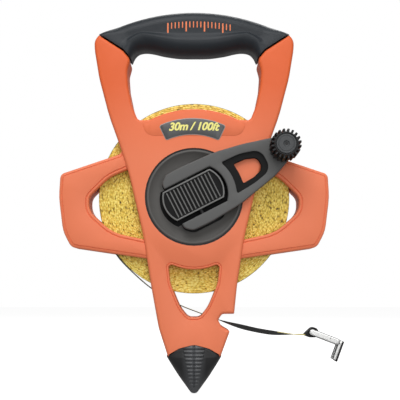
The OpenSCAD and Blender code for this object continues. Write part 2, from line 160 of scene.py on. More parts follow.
def soft_light(name, place, aim, size, power):
    """A square area light at place, facing aim, both in metres from the hub."""
    data = bpy.data.lights.new(name, "AREA")
    data.size = size
    data.energy = power
    lamp = bpy.data.objects.new(name, data)
    lamp.location = hub_centre + np.array(place)
    toward = Vector(np.array(aim) - np.array(place))
    lamp.rotation_euler = toward.to_track_quat("-Z", "Y").to_euler()
    bpy.context.collection.objects.link(lamp)


soft_light("key", (-0.10, -0.78, 1.02), (0, 0, 0), 0.9, 11.8)
soft_light("fill", (0.25, -1.25, 0.20), (0, 0, 0), 0.7, 4.2)
soft_light("back", (0.2, 0.9, 0.9), (0, 0, 0), 0.8, 7.5)
print("floor at", round(floor_z, 4))

# %% [markdown]
# ## Outlines
# Most parts are moulded plates.  An outline is a short list of corners (x, y, fillet
# radius), anticlockwise.  Moving every side in by d gives a parallel outline: its outward
# corners lose d of radius and its inward ones gain it.  As each corner keeps its number of
# points, a stack of such outlines is a grid, and a rounded edge is one grid surface.

# %% Corners to points
ARC_STEP = math.radians(7.5)


def sides(corners):
    """Unit directions into and out of each corner, and the signed bend between them."""
    p = corners[:, :2]
    into = p - np.roll(p, 1, 0)
    into /= np.linalg.norm(into, axis=1)[:, None]
    out = np.roll(into, -1, 0)
    bend = np.arctan2(into[:, 0] * out[:, 1] - into[:, 1] * out[:, 0], (into * out).sum(1))
    return into, out, bend


def inset(corners, d):
    """The outline with every side moved in by d: corner + d (n1 + n2) / (1 + n1.n2)."""
    c = np.array(corners, float)
    into, out, bend = sides(c)
    n1 = np.stack([-into[:, 1], into[:, 0]], 1)
    n2 = np.stack([-out[:, 1], out[:, 0]], 1)
    c[:, :2] += d * (n1 + n2) / (1 + (n1 * n2).sum(1))[:, None]
    c[:, 2] = np.maximum(c[:, 2] - np.sign(bend) * d, 0.05)
    return c


def trace(corners):
    """Points of an outline: at each corner an arc of radius r tangent to both sides."""
    c = np.array(corners, float)
    into, out, bend = sides(c)
    pieces = []
    for k in range(len(c)):
        count = max(1, math.ceil(abs(bend[k]) / ARC_STEP - 1e-6))
        turn = bend[k] * np.arange(count + 1) / count
        side = np.sign(bend[k])
        radius = max(c[k, 2], 0.02)
        reach = radius * math.tan(abs(bend[k]) / 2)
        start = c[k, :2] - into[k] * reach
        normal = side * np.array([-into[k, 1], into[k, 0]])
        centre = start + normal * radius
        arm = -normal * radius
        ca, sa = np.cos(turn), np.sin(turn)
        pieces.append(centre + np.stack([arm[0] * ca - arm[1] * sa, arm[0] * sa + arm[1] * ca], 1))
    return np.concatenate(pieces)


def disc(radius, x=0.0, y=0.0):
    """A circle as four corners whose fillets meet."""
    r = radius
    return [(x + r, y - r, r), (x + r, y + r, r), (x - r, y + r, r), (x - r, y - r, r)]


def oblong(x0, y0, x1, y1, r):
    """A rectangle from its lower left corner to its upper right one, with fillets of r."""
    return [(x0, y0, r), (x1, y0, r), (x1, y1, r), (x0, y1, r)]


def mirrored(outline):
    """The same outline on the other side of the middle, still anticlockwise."""
    return [(-x, y, r) for x, y, r in reversed(outline)]


def arc_points(x, y, radius, start, end, count):
    """Corner points along an arc, angles in degrees."""
    a = np.radians(np.linspace(start, end, count + 1))
    return [(x + radius * c, y + radius * s, 0.0) for c, s in zip(np.cos(a), np.sin(a))]


def resample(line, count):
    """count points evenly spaced by length along a polyline."""
    line = np.asarray(line, float)
    run = np.concatenate([[0], np.cumsum(np.linalg.norm(np.diff(line, axis=0), axis=1))])
    at = np.linspace(0, run[-1], count)
    return np.stack([np.interp(at, run, line[:, k]) for k in range(line.shape[1])], 1)


def smooth(points, steps=8):
    """A Catmull-Rom line through given points."""
    p = np.asarray(points, float)
    p = np.concatenate([p[:1], p, p[-1:]])
    t = np.arange(steps)[:, None] / steps
    a, b, c, d = p[:-3, None], p[1:-2, None], p[2:-1, None], p[3:, None]
    line = 0.5 * (2 * b + (c - a) * t + (2 * a - 5 * b + 4 * c - d) * t**2 + (3 * b - a - 3 * c + d) * t**3)
    return np.concatenate([line.reshape(-1, p.shape[1]), p[-1:]])


print("a full circle has", len(trace(disc(1.0))), "points")

# %% [markdown]
# ## Meshes
# A `Skin` gathers grids and flat caps, welds them and turns every face outwards.  A cap
# with holes comes from a constrained triangulation of all its loops, from which the
# triangles that lie in a hole are dropped.

# %% Grids and caps
def inside(points, loop):
    """Which points lie in a closed loop: an odd number of its sides pass to their right."""
    a, b = loop, np.roll(loop, -1, 0)
    x, y = points[:, None, 0], points[:, None, 1]
    spans = (a[:, 1] > y) != (b[:, 1] > y)
    rise = np.where(b[:, 1] == a[:, 1], 1e-12, b[:, 1] - a[:, 1])
    cross = a[:, 0] + (y - a[:, 1]) * (b[:, 0] - a[:, 0]) / rise
    return (spans & (x < cross)).sum(1) % 2 == 1


class Skin:
    """Vertices and faces of one piece, gathered in (x, y, h) millimetres."""

    def __init__(self):
        self.points, self.faces, self.slots, self.count = [], [], [], 0

    def add(self, points, faces, slot=0):
        """A batch of points and faces; slot is one finish or one for each face."""
        self.points.append(np.asarray(points, float).reshape(-1, 3))
        self.faces += (np.asarray(faces) + self.count).tolist()
        self.slots += np.broadcast_to(slot, len(faces)).tolist()
        self.count += len(self.points[-1])

    def grid(self, points, closed=True, slot=0):
        """A rows by columns array of points; closed joins the last column to the first."""
        rows, cols = points.shape[:2]
        r, c = np.meshgrid(np.arange(rows - 1), np.arange(cols if closed else cols - 1), indexing="ij")
        d = (c + 1) % cols
        quads = np.stack([r * cols + c, r * cols + d, (r + 1) * cols + d, (r + 1) * cols + c], -1)
        self.add(points, quads.reshape(-1, 4), slot)

    def cap(self, loops, h, slot=0):
        """A flat face at height h inside the first loop and outside the others."""
        flat_points = np.concatenate(loops)
        edges, start = [], 0
        for loop in loops:
            n = len(loop)
            edges += [(start + k, start + (k + 1) % n) for k in range(n)]
            start += n
        made = delaunay_2d_cdt([Vector(p) for p in flat_points], edges, [], 1, 1e-7)
        where = np.array([tuple(v) for v in made[0]])
        triangles = np.array(made[2])
        middle = where[triangles].mean(1)
        keep = inside(middle, loops[0])
        for loop in loops[1:]:
            keep &= ~inside(middle, loop)
        self.add(np.column_stack([where, np.full(len(where), h)]), triangles[keep], slot)

    def plate(self, outer, holes, outer_edge, hole_edge=None, slot=0):
        """A closed plate.  Each edge is a list of (inset, height) from the base to the top."""
        tops, bases = [], []
        for k, outline in enumerate([outer] + list(holes)):
            edge = outer_edge if k == 0 else (hole_edge or outer_edge)
            sign = 1 if k == 0 else -1
            rings = [trace(inset(outline, sign * d)) for d, _ in edge]
            heights = [h for _, h in edge]
            stack = [np.column_stack([r, np.full(len(r), h)]) for r, h in zip(rings, heights)]
            self.grid(np.array(stack), slot=slot)
            bases.append(rings[0])
            tops.append(rings[-1])
        self.cap(tops, outer_edge[-1][1], slot)
        self.cap(bases, outer_edge[0][1], slot)

    def lathe(self, profile, x=0.0, y=0.0, count=144, slot=0):
        """A profile of (radius, height) turned about the upright line through x, y."""
        profile = np.asarray(profile, float)
        a = np.arange(count) * 2 * np.pi / count
        ring = np.stack([np.cos(a), np.sin(a)], 1)
        rows = [
            np.column_stack([x + r * ring[:, 0], y + r * ring[:, 1], np.full(count, h)])
            for r, h in profile
        ]
        self.grid(np.array(rows), slot=slot)

    def slab(self, near, far, slot=0):
        """A closed slab between two rows-by-columns sheets of the same shape."""
        self.grid(near, closed=False, slot=slot)
        self.grid(far, closed=False, slot=slot)
        for edge in (np.s_[0], np.s_[-1], np.s_[:, 0], np.s_[:, -1]):
            self.grid(np.stack([near[edge], far[edge]]), closed=False, slot=slot)

    def prism(self, loop, low, high, slot=0):
        """A closed upright prism on a loop of points."""
        self.grid(np.array([np.column_stack([loop, np.full(len(loop), h)]) for h in (low, high)]), slot=slot)
        self.cap([loop], low, slot)
        self.cap([loop], high, slot)

    def join(self, other):
        """Take in everything that another skin has gathered."""
        self.points += other.points
        self.faces += [[i + self.count for i in face] for face in other.faces]
        self.slots += other.slots
        self.count += other.count

    def turned(self, angle, about=(0.0, 0.0)):
        """Turned in the plane and then moved so that the origin lands on about."""
        c, s = math.cos(angle), math.sin(angle)
        for p in self.points:
            x, y = p[:, 0].copy(), p[:, 1].copy()
            p[:, 0] = about[0] + c * x - s * y
            p[:, 1] = about[1] + s * x + c * y
        return self

    def flipped(self):
        """The same piece mirrored through the middle plane, for the rear."""
        for p in self.points:
            p[:, 2] *= -1
        return self

    def make(self, name, finishes, smooth_angle=35):
        """The welded mesh as an object, shaded smooth except across real edges."""
        mesh = bpy.data.meshes.new(name)
        mesh.from_pydata(stand(np.concatenate(self.points)), [], self.faces)
        for finish in finishes:
            mesh.materials.append(finish)
        mesh.polygons.foreach_set("material_index", self.slots)
        obj = bpy.data.objects.new(name, mesh)
        bpy.context.collection.objects.link(obj)
        weld(mesh)
        mesh.shade_smooth()
        mesh.set_sharp_from_angle(angle=math.radians(smooth_angle))
        return obj


print("a skin has", ", ".join(n for n in vars(Skin) if not n.startswith("_")))

# %% [markdown]
# Where grids meet, their points are doubled, so a mesh is welded and its faces are turned
# outwards.  Edges are quarter circles.  Rooms and holes are cut with exact Booleans, whose
# result is kept as the mesh.  Faces that lie square to the view stay flat, so that the
# smooth shading of a rounded edge doesn't run out over them.

# %% Welding, rounded edges and Booleans
def weld(mesh):
    """Merge doubles, drop empty faces and turn the rest outwards."""
    bm = bmesh.new()
    bm.from_mesh(mesh)
    bmesh.ops.remove_doubles(bm, verts=bm.verts, dist=2e-6)
    bmesh.ops.dissolve_degenerate(bm, edges=bm.edges, dist=1e-6)
    bmesh.ops.recalc_face_normals(bm, faces=bm.faces)
    bm.to_mesh(mesh)
    bm.free()


def wall(low, high):
    """The edge of a plate with plain square sides."""
    return [(0, low), (0, high)]


def round_edge(low, high, top_r, base_r=0.0, steps=5):
    """(inset, height) pairs up a wall: a quarter circle at the top and one at the base."""
    a = np.linspace(0, math.pi / 2, steps + 1)
    edge = []
    if base_r:
        edge += [(base_r * (1 - math.sin(t)), low + base_r * (1 - math.cos(t))) for t in a]
    else:
        edge.append((0, low))
    edge += [(top_r * (1 - math.cos(t)), high - top_r * (1 - math.sin(t))) for t in a]
    return edge


def even_shading(obj, smooth_angle):
    """Smooth shading below the angle, but flat for the faces that lie square to the view."""
    mesh = obj.data
    facing = np.empty(len(mesh.polygons) * 3)
    mesh.polygons.foreach_get("normal", facing)
    square = np.abs(facing.reshape(-1, 3)[:, 1]) > 0.9999
    mesh.polygons.foreach_set("use_smooth", ~square)
    mesh.set_sharp_from_angle(angle=math.radians(smooth_angle))


def carve(obj, tool, operation="DIFFERENCE"):
    """Cut or join a closed piece with another and keep the result as the mesh."""
    step = obj.modifiers.new(operation.lower(), "BOOLEAN")
    step.operation = operation
    step.solver = "EXACT"
    step.object = tool
    done = bpy.data.meshes.new_from_object(obj.evaluated_get(bpy.context.evaluated_depsgraph_get()))
    obj.modifiers.clear()
    obj.data = done
    bpy.data.objects.remove(tool)


print("a rounded edge has", len(round_edge(0, 1, 0.5)), "steps")

# %% [markdown]
# ## Finishes
# Shader maths is written as ordinary sums.  A `Value` wraps a socket, and each operator on
# it adds one Math node.  `Finish.node` makes every other node.  What varies over a surface
# feeds only the colour, the roughness or the bump.

# %% A small language for shader maths
class Value:
    """One output socket that takes part in sums."""

    def __init__(self, finish, socket):
        self.finish, self.socket = finish, socket

    def math(self, operation, *others, swap=False):
        """A Math node on this value and the others; swap puts this one last."""
        terms = [self, *others]
        if swap:
            terms.reverse()
        return self.finish.node("ShaderNodeMath", dict(enumerate(terms)), operation=operation)

    def __add__(self, other):
        return self.math("ADD", other)

    def __sub__(self, other):
        return self.math("SUBTRACT", other)

    def __rsub__(self, other):
        return self.math("SUBTRACT", other, swap=True)

    def __mul__(self, other):
        return self.math("MULTIPLY", other)

    __radd__ = __add__
    __rmul__ = __mul__


class Finish:
    """A named material built round one Principled BSDF."""

    def __init__(self, name, colour, roughness, metallic=0.0, coat=0.0, specular=0.5):
        self.material = bpy.data.materials.new(name)
        self.material.use_nodes = True
        self.tree = self.material.node_tree
        self.surface = self.tree.nodes["Principled BSDF"]
        self.set("Base Color", (*colour, 1))
        self.set("Roughness", roughness)
        self.set("Metallic", metallic)
        self.set("Coat Weight", coat)
        self.set("Specular IOR Level", specular)

    def set(self, socket, value):
        """A constant or a Value on one socket of the surface."""
        if isinstance(value, Value):
            self.tree.links.new(value.socket, self.surface.inputs[socket])
        else:
            self.surface.inputs[socket].default_value = value

    def node(self, kind, inputs=None, output=0, stops=None, **settings):
        """Make a node: its settings first, then the values or links of its sockets."""
        made = self.tree.nodes.new(kind)
        for key, value in settings.items():
            setattr(made, key, value)
        if stops:
            ramp = made.color_ramp
            while len(ramp.elements) < len(stops):
                ramp.elements.new(0.5)
            for element, (at, colour) in zip(ramp.elements, stops):
                element.position = at
                element.color = (*colour, 1)
        for key, value in (inputs or {}).items():
            if isinstance(value, Value):
                self.tree.links.new(value.socket, made.inputs[key])
            else:
                made.inputs[key].default_value = value
        return Value(self, made.outputs[output])

    def place(self):
        """The object's own coordinates, in metres."""
        return self.node("ShaderNodeTexCoord", output="Object")

    def noise(self, where, scale, detail=2.0, roughness=0.5):
        """Cloudy noise in 0..1, scale times as fine as its coordinates."""
        return self.node(
            "ShaderNodeTexNoise",
            {"Vector": where, "Scale": scale, "Detail": detail, "Roughness": roughness},
        )

    def mix(self, factor, first, second):
        """A blend of two colours.  Its colour sockets are numbers 6 and 7, and output 2."""
        return self.node("ShaderNodeMix", {0: factor, 6: first, 7: second}, output=2, data_type="RGBA")

    def bump(self, height, distance, strength=1.0):
        """Light and shade of a height in 0..1 that stands for distance metres."""
        value = self.node("ShaderNodeBump", {"Height": height, "Distance": distance, "Strength": strength})
        self.set("Normal", value)


print("a finish has", ", ".join(n for n in vars(Finish) if not n.startswith("_")))

# %% [markdown]
# Moulded shells have a spark-eroded surface: a fine even grain that breaks up the gloss.
# Handling polishes it unevenly, so the roughness drifts a little over a few centimetres.

# %% Moulded plastics and rubber
drift_scale = 22
scuff_scale = 260
drift_share = 0.16
scuff_share = 0.10
# leg_foot and leg_top bound the painted shade that deepens the orange up the legs.
leg_foot = -0.105
leg_top = -0.045
# sheen_from and sheen_to bound the painted highlight down the middle of the nose.
sheen_from = 0.0015
sheen_to = 0.0100


def moulded(
    name, colour, roughness, grain_scale, grain_depth, drift=0.04, specular=0.5, leg_shade=None, middle_sheen=None
):
    """Plastic with a fine grain, a slow drift of colour and smoother, handled patches.
    leg_shade is painted shade: a deeper colour that comes in up the legs between two heights.
    middle_sheen is a painted highlight: a lighter middle, which fades out a centimetre to
    either side."""
    f = Finish(name, colour, roughness, specular=specular)
    where = f.place()
    grain = f.noise(where, grain_scale, 3, 0.6)
    slow = f.noise(where, drift_scale, 3, 0.55)
    scuff = f.noise(where, scuff_scale, 4, 0.65)
    lighter = tuple(min(1, c * (1 + drift) + drift * 0.08) for c in colour)
    darker = tuple(c * (1 - drift) for c in colour)
    paint = f.mix(slow, (*darker, 1), (*lighter, 1))
    # Painted shade: the legs turn a deeper orange towards their tops.
    if leg_shade:
        height = f.node("ShaderNodeSeparateXYZ", {"Vector": where}, output=2)
        rise = f.node("ShaderNodeMapRange", {"Value": height, "From Min": leg_foot, "From Max": leg_top})
        paint = f.mix(rise, paint, (*leg_shade, 1))
    # Painted highlight: a lighter middle stands for the sheen down a rounded front.
    if middle_sheen:
        away = f.node("ShaderNodeSeparateXYZ", {"Vector": where}, output=0).math("ABSOLUTE")
        fade = f.node("ShaderNodeMapRange", {"Value": away, "From Min": sheen_from, "From Max": sheen_to})
        paint = f.mix(fade, (*middle_sheen, 1), paint)
    f.set("Base Color", paint)
    middle = (drift_share + scuff_share) / 2
    f.set("Roughness", slow * drift_share + (scuff * scuff_share + (roughness - middle)))
    f.bump(grain, grain_depth)
    return f.material


# The shells' orange, with painted shade that deepens it up the legs.
orange_plastic = moulded(
    "orange_plastic", (0.82, 0.205, 0.092), 0.52, 2400, 0.00010, 0.03, 0.35, leg_shade=(0.74, 0.125, 0.030)
)
rubber = moulded("grip_rubber", (0.012, 0.016, 0.021), 0.44, 3000, 0.00010, 0.10, 0.27)
black_plastic = moulded("black_plastic", (0.010, 0.010, 0.011), 0.46, 2600, 0.00006, 0.10, 0.3)
# shadow_black is painted shade, for the floors of the hub's well and of the thumb pad and for the finger
# window's sunk margin.
shadow_black = moulded("shadow_black", (0.005, 0.005, 0.005), 0.60, 2600, 0.00005, 0.10, 0.12)
charcoal_plastic = moulded("charcoal_plastic", (0.088, 0.088, 0.086), 0.50, 2600, 0.00008, 0.06, 0.4)
dish_plastic = moulded("dish_plastic", (0.086, 0.082, 0.077), 0.52, 2600, 0.00008, 0.06, 0.4)
cap_plastic = moulded("cap_plastic", (0.044, 0.047, 0.050), 0.46, 2600, 0.00008, 0.06, 0.4)
# rib_highlight_grey is a painted highlight on the thumb pad's rim and ribs.
rib_highlight_grey = moulded("rib_highlight_grey", (0.15, 0.15, 0.145), 0.46, 2600, 0.00006, 0.10)
# The nose's black, with a painted highlight down its middle.
nose_rubber = moulded(
    "nose_rubber", (0.010, 0.010, 0.011), 0.44, 2600, 0.00006, 0.10, 0.4, middle_sheen=(0.085, 0.088, 0.094)
)
label_edge = moulded("label_edge", (0.30, 0.30, 0.29), 0.42, 1500, 0.00003, 0.05)
tick_paint = moulded("tick_paint", (0.80, 0.20, 0.07), 0.45, 1800, 0.00003, 0.05)
label_film = moulded("label_film", (0.060, 0.062, 0.064), 0.38, 900, 0.00002, 0.06)
label_print = moulded("label_print", (0.86, 0.80, 0.22), 0.40, 1500, 0.00002, 0.04)
print(len(bpy.data.materials), "finishes so far, with the floor's")

# %% [markdown]
# The wound blade shows the edges of its layers: a field of bright yarn ends with dark gaps.
# Rounded cells stand for the yarns.  The pattern is laid along the piece's own UV map, arc
# length one way and radius the other, so that it follows the winding.

# %% Wound tape finish
def woven(name, along, across):
    """Golden yarn ends, each along by across metres, with dark gaps between them."""
    f = Finish(name, (0.60, 0.41, 0.085), 0.48)
    uv = f.node("ShaderNodeUVMap")
    cells = f.node("ShaderNodeMapping", {"Vector": uv, "Scale": (1 / along, 1 / across, 1)})
    yarn = f.node("ShaderNodeTexVoronoi", {"Vector": cells, "Scale": 1.0, "Randomness": 0.9})
    shade = f.noise(cells, 0.9, 3, 0.7)
    slow = f.noise(f.place(), 40, 2)
    level = 1.05 - yarn * 0.95 + (shade - 0.5) * 0.9 + (slow - 0.5) * 0.25
    ramp = f.node(
        "ShaderNodeValToRGB",
        {"Fac": level},
        stops=[
            (0.10, (0.08, 0.050, 0.012)), (0.30, (0.58, 0.40, 0.050)),
            (0.52, (0.80, 0.58, 0.080)), (0.84, (1.0, 0.86, 0.25)),
        ],
    )
    f.set("Base Color", ramp)
    f.bump(level, 0.0005, 0.9)
    return f.material


coil_edge = woven("coil_edge", 0.0019, 0.00112)
print("yarn pattern", coil_edge.name)

# %% [markdown]
# The flat of the blade is coated: nearly even in colour, with the yarns just showing as
# fine waves.  Its dark side and the leader are the same coat in black.

# %% Loose blade and leader
def coated(name, colour, roughness, coat=0.2):
    """A smooth coat of one colour over fine waves of yarn."""
    f = Finish(name, colour, roughness, coat=coat, specular=0.25)
    uv = f.node("ShaderNodeUVMap")
    wave = f.node("ShaderNodeTexWave", {"Vector": uv, "Scale": 260, "Distortion": 0.6})
    slow = f.noise(f.place(), 60, 2)
    darker = tuple(c * 0.8 for c in colour)
    f.set("Base Color", f.mix(slow, (*darker, 1), (*colour, 1)))
    f.bump(wave, 0.00008)
    return f.material


blade_yellow = coated("blade_yellow", (0.62, 0.52, 0.14), 0.35)
blade_black = coated("blade_black", (0.006, 0.006, 0.006), 0.55, 0.0)
leader_black = coated("leader_black", (0.010, 0.010, 0.010), 0.6, 0.0)
print("coats", blade_yellow.name, blade_black.name, leader_black.name)

# %% [markdown]
# The hook is pressed from bright sheet.  Fine streaks run one way over its roughness, as
# rolling leaves them.  The edges of the blank get a much darker steel as painted shade.

# %% Metals
def sheet_metal(name, colour, roughness, streak=0.12):
    """Rolled steel with streaks along the sheet."""
    f = Finish(name, colour, roughness, metallic=1.0)
    lines = f.node("ShaderNodeMapping", {"Vector": f.place(), "Scale": (120, 120, 2600)})
    streaks = f.noise(lines, 1.0, 4, 0.6)
    slow = f.noise(f.place(), 90, 2)
    f.set("Roughness", streaks * streak + (slow * 0.1 + (roughness - 0.1)))
    f.set("Base Color", f.mix(slow, (*[c * 0.86 for c in colour], 1), (*colour, 1)))
    f.bump(streaks, 0.00002)
    return f.material


bright_steel = sheet_metal("bright_steel", (0.66, 0.66, 0.65), 0.34)
# A dark steel used as painted shade on the hook's edges and on the claw's plate.
edge_shade_steel = sheet_metal("edge_shade_steel", (0.035, 0.035, 0.035), 0.5)
zinc = sheet_metal("zinc_plate", (0.62, 0.62, 0.60), 0.36)
print("metals", bright_steel.name, edge_shade_steel.name, zinc.name)

# %% [markdown]
# ## The two shells
# Seen from the front, a raised A (nose end, body, legs and the bridge over the hub) lies
# over two side wings.  Here are their outlines, the places of the screws and the route of
# the free blade, which needs a channel.

# %% Outlines of the shells
wing_step = 2.5
screw_sink = 4
wing_h = body_h - wing_step
bridge = arc_points(0, -6, 77.7, 62.4, 88, 8)
leg_and_bridge = [
    (34.5, -70, 90), (40.5, -32, 90), (52.5, 18, 90), (58.5, 37, 60), (69, 66, 90),
    (77.3, 97, 60), (81.2, 120, 30), (81.6, 128.3, 9), (77.9, 132.9, 0.3),
    (58.2, 120.0, 9), (52.0, 112.6, 6.0), (54.6, 103, 14), (53.6, 90, 30), (50.2, 74, 30),
    (45.6, 62.4, 4),
] + bridge
mouth_lip = [
    (28.5, -107.4, 1.0), (21.8, -103.4, 3.0), (19.1, -98.4, 2.4), (22.4, -93.7, 3.2), (32.0, -93.6, 0.8),
]
a_outline = [(21.2, -127, 0.4)] + mouth_lip + leg_and_bridge
a_outline += mirrored(leg_and_bridge) + [(-28.0, -105, 40), (-20.8, -127, 0.4)]
wing_outline = [
    (30, -50.8, 0.1), (98.6, -40.6, 7), (105.5, -28, 30), (109.2, 0, 60), (108.2, 18.6, 5),
    (60, 35, 4), (56, 44, 0.1), (30, 44, 0.1),
]
wing_window = [
    (36, -35.2, 0.5), (65.4, -28.8, 35), (84.8, -11.6, 14), (84.8, 0.2, 9),
    (68.9, 16.1, 30), (48, 25.2, 0.5),
]
window_right = [(4.5, -96.4, 6), (11, -88.8, 30), (18.8, -70, 30), (20.6, -53.6, 2.4)]
lower_window = window_right + [(0, -61.0, 42)] + mirrored(window_right)
nose_outline = [
    (-2.5, -157.6, 2), (2.5, -157.6, 2), (12.6, -143, 60), (21.8, -128, 1), (20.8, -126.0, 1),
    (12, -120.8, 12), (0, -117.8, 12), (-12, -120.8, 12), (-20.8, -126.0, 1), (-21.8, -128, 1),
    (-12.6, -143, 60),
]
nose_seat = body_h - 2.1
screw_seats = [
    (x * side, y, (wing_h if x > 85 else body_h) - screw_sink)
    for x, y in [(66.5, 106), (61, 80), (96.5, 6), (94.5, -28)] for side in (-1, 1)
] + [(0, -110, body_h - screw_sink)]
lead_route = smooth([
    (-65.6, -42.6), (-59.9, -50.3), (-53.3, -57.2), (-45.5, -64.5), (-36, -72.4), (-23.5, -80.8),
    (-10.5, -87.4), (5, -93.4), (20, -98.8), (32, -102.6), (46, -106.2), (60, -108.8),
    (74, -110.2), (90.5, -110.7),
])
print(len(a_outline), "corners round the A,", len(screw_seats), "screws")

# %% [markdown]
# The edges are lists of insets and heights.  Every window has a rolled lip with a fine
# groove round it, and the wings have a bevelled rim with the same groove.

# %% Edges of the shells
def band(line, half):
    """The closed loop round a line: its points moved half to each side."""
    along = np.gradient(line, axis=0)
    along /= np.linalg.norm(along, axis=1)[:, None]
    side = half * np.stack([-along[:, 1], along[:, 0]], 1)
    return np.concatenate([line - side, (line + side)[::-1]])


def lip(low, high, wide=1.0):
    """A window's edge: rolled lip, then a fine groove, then the flat of the shell."""
    edge = [
        (0.3, low), (0, low + 0.3), (0, high - 1.9), (0.2, high - 1.1), (0.7, high - 0.5),
        (1.3, high - 0.3),
        (1.9, high - 0.35), (2.25, high - 0.95), (2.6, high - 0.95), (2.95, high - 0.1), (3.2, high),
    ]
    return [(d * wide, h) for d, h in edge]


def bevelled(low, high):
    """An outer edge: parting chamfer, wall, round shoulder, margin and a fine groove."""
    return [
        (0.35, low), (0, low + 0.35), (0, high - 2.0), (0.25, high - 1.2), (0.8, high - 0.75),
        (2.0, high - 0.5), (2.25, high - 0.85), (2.55, high - 0.85), (2.85, high - 0.08), (3.1, high),
    ]


print("lip of", len(lip(0, body_h)), "steps, bevel of", len(bevelled(0, wing_h)))

# %% [markdown]
# Each shell is a closed plate with rounded edges, and its two wings are joined to it with
# Boolean unions.  The rooms for the hub, the coil, the nose, the free blade and the screws
# are cut out of it afterwards, so that every room is exactly as large as it is meant to be.

# %% Cutting and joining the shells
beyond = 30
below = -1
coil_room = 2
coil_room_h = 8
channel_half = 2.2
channel_h = 7.5
screw_head_r = 3.4


def cutter(outline, low, high, rear=False, angle=0.0):
    """A plain plate to cut with, turned about the hub, in the front or the rear half."""
    skin = Skin()
    skin.plate(outline, [], wall(low, high))
    skin.turned(angle)
    return (skin.flipped() if rear else skin).make("cutter", [])


def frame_half(name, rear):
    """One shell: the raised A and two wings, less the rooms for hub, tape, nose and screws."""

    def made(skin, piece_name):
        """The skin as an object, in this shell's half."""
        return (skin.flipped() if rear else skin).make(piece_name, [orange_plastic])

    bore_low, bore_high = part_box("front_bearing_ring")
    bore_r = (bore_high[0] - bore_low[0]) * 500 + 0.02
    skin = Skin()
    skin.plate(a_outline, [lower_window], round_edge(0, body_h, 2.6, 0.35), lip(0, body_h, 0.72))
    shell = made(skin, name)
    for outline, window in [(wing_outline, wing_window), (mirrored(wing_outline), mirrored(wing_window))]:
        skin = Skin()
        skin.plate(outline, [window], bevelled(0, wing_h), lip(0, wing_h))
        carve(shell, made(skin, "wing"), "UNION")
    for outline, low, high in [
        (disc(bore_r), below, beyond), (disc(coil_r + coil_room), below, coil_room_h),
        (nose_outline, nose_seat, beyond),
    ]:
        carve(shell, cutter(outline, low, high, rear))
    channel = Skin()
    channel.prism(band(lead_route, channel_half), below, channel_h)
    carve(shell, made(channel, "channel"))
    if rear:
        for x, y, seat in screw_seats:
            carve(shell, cutter(disc(screw_head_r, x, y), seat, beyond, rear))
    even_shading(shell, 32)
    return shell


def fit(piece, body, slot, *nodes):
    """Give a finished piece its body and hide the packed nodes it stands for.  slot is not used."""
    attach(piece, body)
    if nodes:
        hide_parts(*nodes)
    print(piece.name, len(piece.data.polygons), "faces on", body)
    return piece


fit(frame_half("front_shell", False), "frame", "orange_shell", "front_frame")
fit(frame_half("rear_shell", True), "frame", "orange_shell", "rear_frame")

# %% [markdown]
# The label lies on a bed that stands a hair above the shell.  The bed is a closed piece of
# its own: a Boolean union of so low a step spoilt the shading of the whole face round it.

# %% Label bed
bed_rise = 0.18
bed_foot = [(-41.8, 49.4, 9), (41.8, 49.4, 9), (41.2, 57.6, 1)]
bed_outline = bed_foot + arc_points(0, -6, 75.9, 59, 121, 14) + [(-41.2, 57.6, 1)]
skin = Skin()
skin.plate(bed_outline, [], [(0, body_h - 0.5), (0, body_h + 0.05), (0.22, body_h + bed_rise)])
fit(skin.make("label_bed", [orange_plastic], 60), "frame", "orange_shell")

# %% [markdown]
# ## The soft grip
# Rubber is moulded over the bar between the legs.  Its top is one long arc and its
# underside has two finger hollows.  Lines from the top curve to the bottom one carry a
# cross-section: a round top, a nearly flat front and a deep round underside that is tallest
# over the hollows, which gives the wavy shoulder across the front.

# %% Grip
grip_top_r = 161.2
grip_top_centre = -7.0
grip_reach = 78.0
grip_columns = 161
joint_line = resample([(78.0, 134.1), (57.6, 121.0), (51.8, 114.2)], 60)
underside = smooth([
    (0, 117.4), (12, 117.6), (24, 119.2), (33, 121.3), (40, 122.2), (45.8, 121.2), (49.6, 118.3),
    (51.8, 114.2),
])


def ease(t):
    """0 up to t = 0 and 1 from t = 1 on, with a smooth step between."""
    t = np.clip(t, 0, 1)
    return t * t * (3 - 2 * t)


